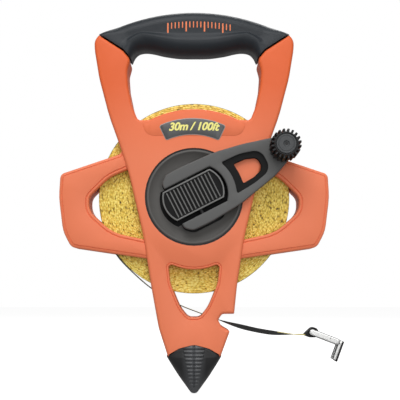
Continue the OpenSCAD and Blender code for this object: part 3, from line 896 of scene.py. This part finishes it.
def grip_sheet(columns, step=9):
    """The front of the grip as columns by points.  Each column runs from the top arc to the
    underside at share t, and stands out by h(t): quarter ellipses at both ends and a gentle
    swell between them.  Near the ends the columns bend to follow the leg's joint line."""
    s = np.linspace(-1, 1, columns)
    x = grip_reach * s
    top = np.stack([x, grip_top_centre + np.sqrt(grip_top_r**2 - x**2)], 1)
    whole = np.concatenate([underside[::-1] * (-1, 1), underside[1:]])
    low = resample(whole, columns)
    length = np.linalg.norm(low - top, axis=1)
    end = ease((np.abs(s) - 0.78) / 0.22)
    crown = 9.0 - 4.5 * end
    belly = np.interp(np.abs(low[:, 0]), [0, 14, 36, 46, 51.8], [10.5, 11, 14, 9.5, 5.0])
    angle = np.linspace(0, np.pi / 2, step)
    crown_h = 9.5 - 4.5 * end
    belly_h = 13.0 - 6.0 * end
    face = body_h - 2.5 * (1 - end)
    a1 = crown[:, None] * (1 - np.cos(angle))
    h1 = (face - crown_h)[:, None] + crown_h[:, None] * np.sin(angle)
    share = np.linspace(0, 1, 3 * step)[1:-1]
    a2 = crown[:, None] + share * (length - crown - belly)[:, None]
    h2 = face[:, None] + (body_h - face)[:, None] * ease((share - 0.56) / 0.44)
    a3 = (length - belly)[:, None] + belly[:, None] * np.sin(angle)
    h3 = (body_h - belly_h)[:, None] + belly_h[:, None] * np.cos(angle)
    none = np.zeros((columns, 1))
    a = np.concatenate([none, a1, a2, a3, length[:, None]], 1)
    h = np.concatenate([none, h1, h2, h3, none], 1)
    t = a / length[:, None]
    at = top[:, None] + t[:, :, None] * (low - top)[:, None]
    straight = joint_line[0] + t[:, :, None] * (joint_line[-1] - joint_line[0])
    share = np.linspace(0, 1, len(joint_line))
    bent = np.stack([np.interp(t, share, joint_line[:, k]) for k in (0, 1)], -1)
    at += (end[:, None, None] * (bent - straight)) * np.where(s < 0, [[-1], [1]], 1).T[:, None, :]
    return np.concatenate([at, h[:, :, None]], 2)


front = grip_sheet(grip_columns)
for name, flip, node in [("front_grip_skin", 1, "front_grip"), ("rear_grip_skin", -1, "rear_grip")]:
    skin = Skin()
    skin.slab(front * (1, 1, flip), front * (1, 1, 0))
    fit(skin.make(name, [rubber], 50), "frame", "soft_grip", node)

# %% [markdown]
# ## Printed graduations
# The front of the grip has a short ruler in the colour of the shells: fine strokes with a
# longer, wider one at every fifth.  Each stroke is a low plate that stands on the rubber at
# its own height, read from the grip's surface.

# %% Grip strokes
skin = Skin()
stroke_pitch = 3.0
stroke_shift = 2.5
stroke_drop = 9.6
for k in range(-8, 10):
    x = stroke_shift + k * stroke_pitch
    major = k % 5 == 2
    long = 8.4 if major else 5.2
    width = 0.62 if major else 0.45
    column = front[int(round((x / grip_reach + 1) * (grip_columns - 1) / 2))]
    height = float(np.interp(9.5, column[0, 1] - column[:40, 1], column[:40, 2]))
    top = grip_top_centre + math.sqrt(grip_top_r**2 - x * x) - stroke_drop
    outline = oblong(x - width, top - long, x + width, top, 0.4)
    skin.plate(outline, [], [(0, height - 1.5), (0, height + 0.05), (0.15, height + 0.14)])
fit(skin.make("grip_strokes", [tick_paint]), "frame", "orange_shell")

# %% [markdown]
# ## The nose
# A pointed rubber shoe finishes the foot of the reel, so it can be pushed into soft ground.
# It is a loft of superellipses: nearly square at the body and round at the point.  A ribbed
# strip runs down the front and the back, with a groove along its middle.

# %% Nose
nose_side = smooth([
    (0.0, -157.6), (1.7, -157.2), (3.2, -156.0), (7.9, -149.6), (12.6, -143.0), (17.2, -135.6),
    (21.5, -128.2), (21.8, -127.0),
])
nose_depth = smooth([
    (0.0, -157.6), (1.7, -157.2), (3.2, -156.0), (7.9, -149.6), (11.9, -143.0), (14.9, -135.6),
    (16.5, -128.2), (16.5, -127.0),
])
rib_pitch = 3.0
nose_foot = -127.0


def strip_half(y):
    """Half the width of the ribbed strip."""
    return np.interp(y, [-153, -120], [3.4, 9.0])


def ribs(x, y):
    """Height of the strip's ribs: a raised cosine along y, faded out at the strip's edges
    and near the point, less a narrow groove along the middle."""
    on = ease((strip_half(y) - np.abs(x)) / 0.8) * ease((y + 154) / 2)
    wave = (0.5 + 0.5 * np.cos(2 * np.pi * (y + 120.5) / rib_pitch)) ** 0.8
    return on * (0.95 * wave - 1.2 * np.exp(-((x / 0.75) ** 2)))


def nose_size(y):
    """Half-width, half-depth and superellipse power of the cross-section at y."""
    w = np.interp(y, nose_side[:, 1], nose_side[:, 0])
    d = np.minimum(np.interp(y, nose_depth[:, 1], nose_depth[:, 0]), body_h)
    return w, d, np.interp(y, [-157, -140, -127], [2.0, 3.0, 6.5])


def nose_ring(y, count=208):
    """One cross-section: |x / w|^e + |h / d|^e = 1, with points evenly spaced round it."""
    w, d, power = nose_size(y)
    a = np.linspace(0, 2 * np.pi, 1601)
    c, n = np.cos(a), np.sin(a)
    ring = np.stack([
        w * np.sign(c) * np.abs(c) ** (2 / power), d * np.sign(n) * np.abs(n) ** (2 / power),
    ], 1)
    ring = resample(ring, count + 1)[:-1]
    out = np.sign(ring[:, 1]) * ease(np.abs(ring[:, 1]) / d * 2.5 - 1.2)
    return np.column_stack([ring[:, 0], np.full(count, y), ring[:, 1] + out * ribs(ring[:, 0], y)])


rows = np.concatenate([np.linspace(-157.55, -155, 12), np.arange(-154.7, nose_foot, 0.3), [nose_foot]])
body = np.array([nose_ring(y) for y in rows])
tip = np.broadcast_to([0, -157.6, 0], body[:1].shape)
end = np.broadcast_to([0, nose_foot, 0], body[:1].shape)
body = np.concatenate([tip, body, end])
nose = Skin()
nose.grid(body)
print("nose rings", len(rows))

# %% [markdown]
# The rubber laps over both faces of the body in two curved lips.  Each is a sheet that
# carries on the strip's ribs, sinks at its free edge and has a wall of its own.

# %% The lips of the nose
lap_half = 20.6
lap_wall = 1.6
w, d, power = nose_size(nose_foot)
across = np.linspace(-lap_half, lap_half, 104)
crown = -118.0 - 8.1 * (np.abs(across) / lap_half) ** 1.6
lap_share = np.concatenate([[-0.05], np.linspace(0, 1, 32)])
y = nose_foot + lap_share[:, None] * (crown - nose_foot)
x = np.broadcast_to(across, y.shape)
face_h = d * (1 - np.abs(across / w) ** power) ** (1 / power) - 0.5 * ease((y - crown) / 1.0 + 1)
face_h = face_h + ribs(x, y) * ease((crown - y) / 0.8)
face_h[0] -= 0.3
for side in (1, -1):
    near = np.stack([x, y, side * face_h], -1)
    far = np.stack([x, y, side * (face_h - lap_wall)], -1)
    nose.slab(near, far)
fit(nose.make("nose_shoe", [nose_rubber], 40), "frame", "black_plastic", "nose_cone")

# %% [markdown]
# ## The hub
# The spool shows a dished disc in a bearing ring.  The dish is a profile turned about the
# hub.  Two slots let the tails of the crank swing through when it folds, and a well
# surrounds the thumb pad.  Slots and well are cut with Booleans, a little larger than what
# moves in them.  The faces at the bottom of the well are painted shade black.

# %% Hub disc
hub_r = (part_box("front_hub_disc")[1][2] - hub_centre[2]) * 1000 - 3.2
dish_floor = body_h - 4
well_r = 31
pad_half_w = 12.8
pad_half_l = 25.4


def pad_outline(grow):
    """The thumb pad: straight sides and ends that are arcs, all moved out by grow."""
    bulge = 4.5
    r = (pad_half_w**2 + bulge**2) / (2 * bulge)
    a = math.degrees(math.asin((pad_half_w + grow) / (r + grow)))
    c = pad_half_l - r
    return arc_points(c, 0, r + grow, -a, a, 12) + arc_points(-c, 0, r + grow, 180 - a, 180 + a, 12)


tail_slot = [
    (-19.1, 15.0, 0.4), (19.4, 15.0, 0.4), (19.4, 20.2, 5.6), (12.9, 26.0, 7.8),
    (-12.9, 26.0, 7.8), (-19.1, 20.2, 5.6),
]


other_slot = [(x, -y, r) for x, y, r in reversed(tail_slot)]
rim = body_h - 0.3
hub_flange = [(0, 6.9), (hub_r + 3.1, 6.9), (hub_r + 3.1, 7.5), (hub_r, 7.6), (hub_r, rim - 0.7)]
skin = Skin()
skin.lathe(hub_flange + [
    (hub_r - 0.2, rim - 0.25), (hub_r - 0.7, rim), (hub_r - 1.5, rim), (hub_r - 1.9, rim - 0.2),
    (hub_r - 2.2, rim - 0.5),
    (hub_r - 4.6, rim - 1.9), (hub_r - 7.2, rim - 2.9), (hub_r - 10, rim - 3.6), (hub_r - 13, rim - 3.95),
    (hub_r - 17, dish_floor - 0.4), (0, dish_floor - 0.4),
])
hub_disc = skin.make("hub_dish", [dish_plastic, shadow_black], 30)
carve(hub_disc, cutter(pad_outline(2.9), dish_floor - 1.6, beyond, angle=crank_angle))
for slot_outline in (tail_slot, other_slot):
    carve(hub_disc, cutter(slot_outline, -10, beyond, angle=crank_angle))
away = (np.array([p.center for p in hub_disc.data.polygons]) - hub_centre) * 1000
# Painted shade: the faces deep in the well get shadow_black.
well_shade_mask = (-away[:, 1] < dish_floor - 0.45) & (np.hypot(away[:, 0], away[:, 2]) < well_r)
hub_disc.data.polygons.foreach_set("material_index", well_shade_mask.astype(np.int32))
even_shading(hub_disc, 30)
fit(hub_disc, "spool", "charcoal_plastic", "front_hub_disc")

# %% [markdown]
# A thumb pad fills the well and turns with the disc.  It has a rim and thirteen ribs across
# it, painted lighter than the floor between them as painted highlight, while the floor is
# painted shade black.  All are low plates on one outline.

# %% Thumb pad
pad_top = fold_h + 2.9
rib_count = 13
pad_rib_pitch = 3.1
rib_half = 0.52
rib_reach = pad_half_w - 1.9
skin = Skin()
skin.plate(pad_outline(0), [], [(0, dish_floor - 1.0), (0, pad_top - 1.6), (0.25, pad_top - 1.35)])
rim_low, rim_high = pad_top - 1.5, pad_top
rib_edge = [(0, rim_low), (0, rim_high - 0.6), (0.15, rim_high - 0.3), (0.4, rim_high - 0.15)]
skin.plate(
    pad_outline(0), [pad_outline(-1.25)],
    [(0, rim_low), (0, rim_high - 0.35), (0.12, rim_high - 0.1), (0.38, rim_high)],
    [(0, rim_low), (0, rim_high - 0.3), (0.3, rim_high)], slot=1,
)
for k in range(rib_count):
    x = (k - (rib_count - 1) / 2) * pad_rib_pitch
    skin.plate(oblong(x - rib_half, -rib_reach, x + rib_half, rib_reach, 0.4), [], rib_edge, slot=1)
pad_shift = (-math.sin(crank_angle), math.cos(crank_angle))
# Slot 0 is painted shade on the pad's body and floor; slot 1 is painted highlight on rim and ribs.
pad = skin.turned(crank_angle, pad_shift).make("brake_pad", [shadow_black, rib_highlight_grey])
fit(pad, "spool", "black_plastic", "thumb_pad")

# %% [markdown]
# ## The crank
# The arm forks round the thumb pad and folds over on a pin through its two tails.  It is a
# plate with a rounded top edge and a D-shaped finger window, whose margin slopes down to the
# opening.  The sunk margin is painted shade black.

# %% Crank arm
arm_low, arm_high = fold_h - 2.5, fold_h + 2.5
arm_right = [
    (-18.6, -15.5, 0.9), (-18.6, -19.4, 5.4), (-13, -24.3, 7.8), (2, -24.8, 60), (30, -22.7, 60),
    (66, -14.8, 40),
]
arm_left = [
    (75, 14.2, 30), (53, 20.0, 60), (30, 24.2, 60), (2, 25.7, 60), (-13, 25.4, 7.8), (-18.6, 20, 5.8),
    (-18.6, 15.5, 0.9),
]
arm_end = arc_points(82, 2, 9.5, -66, 82, 12)
fork_mouth = arc_points(4.1, 0, 23.5, 41.3, -41.3, 14)
margin = [
    (32.3, -13.9, 0.8), (48, -12.7, 30), (64.6, -9.0, 9.0), (64.6, 9.0, 9.0), (48, 13.9, 30),
    (32.3, 14.3, 0.8),
] + arc_points(-0.2, 0, 34.6, 21, -21, 8)
finger_window = [
    (40.2, -8.5, 0.9), (50, -7.9, 12), (59.4, -4.9, 5.6), (59.4, 4.9, 5.6), (50, 8.2, 12), (40.2, 8.7, 0.9),
] + arc_points(-0.2, 0, 41.0, 8, -8, 4)
skin = Skin()
skin.plate(
    arm_right + arm_end + arm_left + fork_mouth, [margin],
    [
        (0.25, arm_low), (0, arm_low + 0.25), (0, arm_high - 1.1), (0.1, arm_high - 0.65),
        (0.38, arm_high - 0.25), (0.8, arm_high - 0.05), (1.2, arm_high),
    ],
    [(0, arm_low), (0, arm_high - 0.5), (0.12, arm_high - 0.15), (0.5, arm_high)],
)
# Slot 1 paints shade on the sunk margin round the finger window.
skin.plate(
    margin, [finger_window],
    [(0, arm_low + 0.02), (0, arm_high - 1.7), (0.6, arm_high - 1.8)],
    [(0, arm_low + 0.02), (0, arm_low + 0.9), (0.3, arm_low + 1.2)], slot=1,
)
arm = skin.turned(crank_angle).make("crank_fork", [charcoal_plastic, shadow_black])
fit(arm, "crank", "charcoal_plastic", "crank_arm")

# %% [markdown]
# ## The knob
# The knob has square lugs all the way down, for a firm hold.  Its outline is a gear with
# rounded corners, drawn up as a plate, and a cap closes the top.

# %% Knob
lugs = 20
knob_low, knob_high = arm_high + 0.4, arm_high + 22.4
knob_r = 12.0
root_r = 9.6
lug_half = 0.90
one_lug = [
    (root_r, -lug_half, 0.25), (knob_r, -lug_half, 0.4), (knob_r, lug_half, 0.4), (root_r, lug_half, 0.25),
]
outline = []
for k in range(lugs):
    c = math.cos(2 * math.pi * k / lugs)
    n = math.sin(2 * math.pi * k / lugs)
    outline += [(out * c - side * n, out * n + side * c, r) for out, side, r in one_lug]
skin = Skin()
skin.plate(outline, [], [
    (0.2, knob_low), (0, knob_low + 0.25), (0, knob_high - 1.6), (0.15, knob_high - 1.2),
    (0.42, knob_high - 1.0),
])
skin.lathe([
    (0, knob_high - 2.0), (9.3, knob_high - 2.0), (9.3, knob_high - 0.5), (9.1, knob_high - 0.1),
    (8.9, knob_high), (8.5, knob_high), (8.2, knob_high - 0.3), (8.05, knob_high - 1.5), (0, knob_high - 1.5),
])
knob = skin.turned(crank_angle, knob_at[:2]).make("winding_knob", [black_plastic])
fit(knob, "knob", "black_plastic", "knob")
skin = Skin()
skin.lathe([
    (0, knob_high - 1.55), (7.75, knob_high - 1.55), (7.75, knob_high - 0.5), (7.5, knob_high - 0.2),
    (6.6, knob_high - 0.15), (6.3, knob_high - 0.35), (6.0, knob_high - 0.35), (5.7, knob_high - 0.12),
    (2.5, knob_high - 0.12),
    (2.3, knob_high - 0.3), (1.9, knob_high - 0.9), (1.0, knob_high - 1.1), (0, knob_high - 1.1),
], count=96)
cap = skin.turned(0, knob_at[:2]).make("knob_cover", [cap_plastic], 25)
fit(cap, "knob", "charcoal_plastic", "knob_cap")

# %% [markdown]
# ## The wound tape
# Some eighty turns of blade lie on the drum.  Their edges never line up, so each flank of
# the coil is a field of small ridges.  One grid runs over both flanks and the rim.  Its
# height is a sum of waves along the radius and round the coil.  The outermost turn is black:
# on the rim it is the blade's black side, and on the flanks it is painted shade along the
# coil's edge.

# %% Wound tape
drum_r = hub_r - 0.4
half_w = tape_w / 2
rings = 168
spokes = 270
rim_r = coil_r - 0.02
rim_half = half_w - 0.65
shaded_black_turn = 0.45
r = np.linspace(drum_r, coil_r, rings)
a = np.arange(spokes) * 2 * np.pi / spokes
rr, aa = np.meshgrid(r, a, indexing="ij")
layer = np.sin(2 * np.pi * rr / 1.35 + 0.8 * np.sin(5 * aa) + 0.5 * np.sin(13 * aa + rr))
slow_wave = np.sin(0.9 * rr + 3 * np.sin(2 * aa)) * 0.5
uneven = slow_wave + np.sin(23 * aa + 1.7 * rr) * np.sin(31 * aa - 2.3 * rr) * 0.6
wave = 0.16 * layer + 0.12 * uneven
fade = ease((coil_r - rr) / 1.2)
height = half_w - 0.28 + wave * fade - 0.35 * (1 - fade)
flank = np.stack([rr * np.cos(aa), rr * np.sin(aa), height], -1)
rim_h, rim_a = np.meshgrid(np.linspace(rim_half, -rim_half, 9), a, indexing="ij")
edge = np.stack([rim_r * np.cos(rim_a), rim_r * np.sin(rim_a), rim_h], -1)
back = flank[::-1] * (1, 1, -1)
skin = Skin()
layers = np.concatenate([flank, edge, back, flank[:1]])
# The black band of the outermost turn is partly the blade's black side and partly painted shade at the coil's
# edge.
shaded_outer_turn = np.hypot(layers[:, 0, 0], layers[:, 0, 1]) > coil_r - shaded_black_turn
skin.grid(layers, slot=np.repeat((shaded_outer_turn[:-1] & shaded_outer_turn[1:]).astype(int), spokes))
coil = skin.make("wound_blade", [coil_edge, blade_black], 60)
fit(coil, "spool", "yellow_tape", "tape_coil")

# %% [markdown]
# The yarn pattern has to follow the winding and keep its size, so the coil gets a UV map in
# metres: the way round at a mean radius, and the radius plus the depth.

# %% UV map of the wound tape
coil_mean_r = 0.058


def polar_uv(mesh, mean_r):
    """UV in metres: the angle about the hub times a mean radius, and radius plus depth.
    Each corner's angle is taken on the same turn as its face's, so no face spans the seam."""
    count = len(mesh.loops)
    index = np.empty(count, int)
    mesh.loops.foreach_get("vertex_index", index)
    co = np.empty(len(mesh.vertices) * 3)
    mesh.vertices.foreach_get("co", co)
    co = co.reshape(-1, 3)[index] - hub_centre
    start = np.empty(len(mesh.polygons), int)
    size = np.empty(len(mesh.polygons), int)
    mesh.polygons.foreach_get("loop_start", start)
    mesh.polygons.foreach_get("loop_total", size)
    angle = np.arctan2(co[:, 2], co[:, 0])
    first = np.repeat(angle[start], size)
    angle += 2 * np.pi * np.round((first - angle) / (2 * np.pi))
    radius = np.hypot(co[:, 0], co[:, 2])
    uv = np.stack([angle * mean_r, radius - co[:, 1]], 1)
    layer = mesh.uv_layers.new(name="UVMap")
    layer.data.foreach_set("uv", uv.ravel())


polar_uv(coil.data, coil_mean_r)
print("coil UV laid out round a radius of", coil_mean_r, "m")

# %% [markdown]
# ## The free end of the blade
# The blade leaves the coil at the lower left, passes inside the shells and comes out of the
# mouth.  Between the mouth and the hook it is twisted a little, so its black underside shows
# to the user.  A strip is carried along the route: its width direction turns by the twist,
# and its thickness lies across that.

# %% Blade
most_twist = 17
black_until = 66
line = resample(lead_route, 150)
along = np.gradient(line, axis=0)
along /= np.linalg.norm(along, axis=1)[:, None]
normal = np.stack([-along[:, 1], along[:, 0], np.zeros(len(line))], 1)
x = line[:, 0]
twist = np.radians(most_twist) * ease((x - 14) / 28) * ease((88 - x) / 28)
outward = np.array([0.0, 0.0, 1.0])
width = np.cos(twist)[:, None] * outward + np.sin(twist)[:, None] * normal
thick = np.cos(twist)[:, None] * normal - np.sin(twist)[:, None] * outward
centre = np.column_stack([line, np.zeros(len(line))])
sag_in = 0.30
half_t = 0.27


def edge_line(w, t):
    """One of the strip's four long edges, picked by the signs of w and t."""
    return centre + w * (half_w - sag_in) * width + t * half_t * thick


late = (x[:-1] > black_until).astype(int)
strip_sides = [
    ((1, -1), (-1, -1), 1), ((-1, 1), (1, 1), 0), ((1, 1), (1, -1), 1 - late), ((-1, -1), (-1, 1), 0),
]
skin = Skin()
for first, second, finish in strip_sides:
    skin.grid(np.stack([edge_line(*first), edge_line(*second)]), closed=False, slot=finish)
for k in (0, -1):
    ring = np.array([edge_line(1, 1)[k], edge_line(1, -1)[k], edge_line(-1, -1)[k], edge_line(-1, 1)[k]])
    skin.add(ring, [(0, 1, 2, 3)], 1)
fit(skin.make("loose_blade", [blade_yellow, blade_black], 40), "frame", "yellow_tape", "tape_lead")

# %% [markdown]
# ## The end loop
# A black leader wraps the first pin of the hook.  It is a plate as deep as the blade is
# wide, with an outline that narrows towards the blade and a hole for the pin.

# %% Leader loop
pin = near_pin[:2]
skin = Skin()
strap = [
    (-6.9, -2.4, 0.4), (-3.2, -3.7, 2.4), (3.2, -3.7, 2.8), (4.3, 3.2, 3.4), (-0.8, 4.7, 4.0),
    (-4.9, 1.0, 2.6), (-6.9, -0.9, 0.4),
]
loop = [(pin[0] + dx, pin[1] + dy, r) for dx, dy, r in strap]
loop_edge = [(0.35, -6.3), (0, -5.95), (0, 5.95), (0.35, 6.3)]
skin.plate(loop, [disc(1.5, pin[0], pin[1])], loop_edge, wall(-6.3, 6.3))
fit(skin.make("leader_loop", [leader_black]), "frame", "black_leader", "tape_end_loop")

# %% [markdown]
# ## The hook
# The hook is two bright cheeks joined by a web, and a claw that folds on the second pin.
# All are plates with small chamfers, drawn level and then turned to the slope between the
# two pins.  Their edges get the darker steel as painted shade.

# %% Cheeks of the hook
def paint_edge_shade(obj):
    """Give the edges of a pressed blank the second finish, which paints shade on them."""
    facing = np.empty(len(obj.data.polygons) * 3)
    obj.data.polygons.foreach_get("normal", facing)
    edge = np.abs(facing.reshape(-1, 3)[:, 1]) < 0.95
    given = np.empty(len(edge), np.int32)
    obj.data.polygons.foreach_get("material_index", given)
    obj.data.polygons.foreach_set("material_index", np.maximum(given, edge))


def blank_edge(low, high):
    """The edge of a pressed blank: a small chamfer at both faces."""
    return [(0.4, low), (0, low + 0.2), (0, high - 0.2), (0.4, high)]


pitch = math.hypot(far_pin[0] - near_pin[0], far_pin[1] - near_pin[1])
skin = Skin()
cheek = oblong(-3.8, -2.6, pitch + 3.8, 2.6, 2.4)
cheek_holes = [disc(1.32), disc(1.32, pitch), disc(0.55, pitch * 0.74, 0.9)]
for low, high in ((6.9, 8.1), (-8.1, -6.9)):
    skin.plate(cheek, cheek_holes, blank_edge(low, high), wall(low, high))
skin.plate(oblong(4.6, 1.4, 15.2, 2.55, 0.1), [], wall(-7.0, 7.0))
hook = skin.turned(hook_angle, pin).make("hook_cheeks", [bright_steel, edge_shade_steel])
paint_edge_shade(hook)
fit(hook, "hook", "bright_steel", "hook_body")

# %% [markdown]
# The claw is bent from one sheet.  Two ears take the pin and run down as side flanges, and
# the plate between them has two round holes, cut from a lathe laid on its side.  That plate
# is painted shade in the darker steel.

# %% Claw of the hook
ear = [
    (pitch - 2.1, -2.2, 2), (21.4, -2.4, 0.3), (21.4, -14.4, 0.6), (25.0, -14.4, 0.1), (25.0, 2, 0.1),
    (pitch - 2.1, 2, 2),
]
hole_r = 1.7
hole_from = 22
skin = Skin()
for low, high in ((5.3, 6.5), (-6.5, -5.3)):
    skin.plate(ear, [disc(1.34, pitch)], blank_edge(low, high), wall(low, high))
blade_end = [(24.1, -15.0, 0.3), (25.35, -15.0, 0.3), (25.35, 2.0, 0.6), (24.1, 2.0, 0.3)]
# Slot 1: the claw's plate is painted shade in the darker steel.
skin.plate(blade_end, [], [(0.25, -7.6), (0, -7.3), (0, 7.3), (0.25, 7.6)], slot=1)
claw = skin.turned(hook_angle, pin).make("hook_claw_plate", [bright_steel, edge_shade_steel])
for y in (-5.0, -9.5):
    hole = Skin()
    hole.lathe([(0, 0), (hole_r, 0), (hole_r, 6), (0, 6)], count=40)
    for p in hole.points:
        p[:] = np.column_stack([p[:, 2] + hole_from, p[:, 0] + y, p[:, 1]])
    carve(claw, hole.turned(hook_angle, pin).make("cutter", []))
paint_edge_shade(claw)
fit(claw, "claw", "bright_steel", "hook_claw")

# %% [markdown]
# ## The length label
# A printed film lies on the bed above the hub.  It is a sector of a ring with rounded
# corners, on a slightly larger one in a paler finish that shows as its border.

# %% Label
def sector(inner, outer, half_angle, r):
    """A ring sector above the hub with rounded corners."""
    side = 90 - half_angle
    top = arc_points(0, 0, outer, side + 3, 180 - side - 3, 16)
    low = arc_points(0, 0, inner, 180 - side - 4, side + 4, 16)
    corner = [
        (radius * math.cos(math.radians(t)), radius * math.sin(math.radians(t)), r)
        for radius, t in [(outer, side), (outer, 180 - side), (inner, 180 - side), (inner, side)]
    ]
    return [corner[0]] + top + [corner[1], corner[2]] + low + [corner[3]]


label_h = body_h + bed_rise
label_shift = np.array([-1.3, 0.8])
skin = Skin()
border_edge = [(0, body_h - 1), (0, label_h + 0.02), (0.25, label_h + 0.2), (0.45, label_h + 0.22)]
skin.plate(sector(49.4, 63.0, 25.6, 2.0), [], border_edge, slot=1)
skin.plate(sector(49.9, 62.5, 25.1, 1.6), [], [(0, body_h), (0, label_h + 0.27), (0.1, label_h + 0.32)])
label = skin.turned(0, label_shift).make("length_label_film", [label_film, label_edge])
fit(label, "frame", "label_film", "length_label")

# %% [markdown]
# The film tells how long the blade is.  The figures are a slanted text object.  It is made a
# mesh first, then bent a little along an arc, and only then put in place.

# %% Figures on the label
words = bpy.data.curves.new("figures", "FONT")
words.body = "30m / 100ft"
words.size = 8.9
words.align_x = "CENTER"
words.offset = 0.30
words.shear = 0.28
words.extrude = 0.12
words.space_character = 0.96
source = bpy.data.objects.new("figures", words)
bpy.context.collection.objects.link(source)
mesh = bpy.data.meshes.new_from_object(source.evaluated_get(bpy.context.evaluated_depsgraph_get()))
bpy.data.objects.remove(source)
co = np.empty(len(mesh.vertices) * 3)
mesh.vertices.foreach_get("co", co)
co = co.reshape(-1, 3)
co[:, 0] -= (co[:, 0].min() + co[:, 0].max()) / 2
text_low = 53.4
text_right = 0.2
arch_r = 300.0
bend = co[:, 0] / arch_r
placed = np.stack([
    text_right + (arch_r + co[:, 1]) * np.sin(bend),
    label_shift[1] + (arch_r + co[:, 1]) * np.cos(bend) - arch_r + text_low,
    co[:, 2] + label_h + 0.40,
], 1)
mesh.vertices.foreach_set("co", stand(placed).ravel())
mesh.update()
weld(mesh)
mesh.materials.clear()
mesh.materials.append(label_print)
figures = bpy.data.objects.new("label_figures", mesh)
bpy.context.collection.objects.link(figures)
fit(figures, "frame", "label_film")

# %% [markdown]
# ## The rear of the hub
# Behind, a plain cap is taken to be held by four screws.  It is turned like the front disc,
# with a ring of radial ribs, and the screws' seats are cut into it.

# %% Rear cap
cap_floor = 14.4
cap_ribs = 24
screw_count = 4
screw_ring_r = 29.5
screw_seat_h = 11.5
skin = Skin()
skin.lathe(hub_flange + [
    (hub_r - 0.3, rim - 0.2), (hub_r - 0.9, rim), (hub_r - 3.6, rim), (hub_r - 4.2, rim - 0.25),
    (hub_r - 6.6, 14.5), (hub_r - 7.4, cap_floor), (9.4, cap_floor), (8.6, 14.6), (7.4, rim - 0.7),
    (6.6, rim - 0.4), (4.0, rim - 0.4), (3.2, rim - 1.2), (0, rim - 1.5),
])
for k in range(cap_ribs):
    rib = Skin()
    rib.plate(oblong(12.0, -0.6, 25.0, 0.6, 0.5), [], [(0, 14.0), (0, 14.9), (0.3, 15.1)])
    skin.join(rib.turned(2 * math.pi * (k + 0.5) / cap_ribs))
cap = skin.flipped().make("rear_cap", [charcoal_plastic], 30)
for t in range(screw_count):
    a = crank_angle + 2 * math.pi * t / screw_count
    head = disc(screw_head_r, screw_ring_r * math.cos(a), screw_ring_r * math.sin(a))
    carve(cap, cutter(head, screw_seat_h, beyond, rear=True))
even_shading(cap, 30)
fit(cap, "spool", "charcoal_plastic", "rear_hub_cap")

# %% [markdown]
# ## Packed parts that keep their own shape
# Bearing rings, screws, pins, the drum and the tape's anchor are already right.  They only
# get their finishes.

# %% Finishes on packed nodes
kept = {
    "front_bearing_ring": black_plastic, "rear_bearing_ring": black_plastic, "drum": black_plastic,
    "crank_hinge_pin": black_plastic, "frame_screws": zinc, "hub_screws": zinc, "nose_pin": zinc,
    "tape_anchor": zinc, "knob_axle": zinc, "loop_pin": bright_steel, "claw_pin": bright_steel,
}
for node, finish in kept.items():
    packed = frame["nodes"][node]
    for k in range(len(packed.material_slots)):
        packed.material_slots[k].material = finish
print(len(kept), "packed nodes keep their shape")

# %% [markdown]
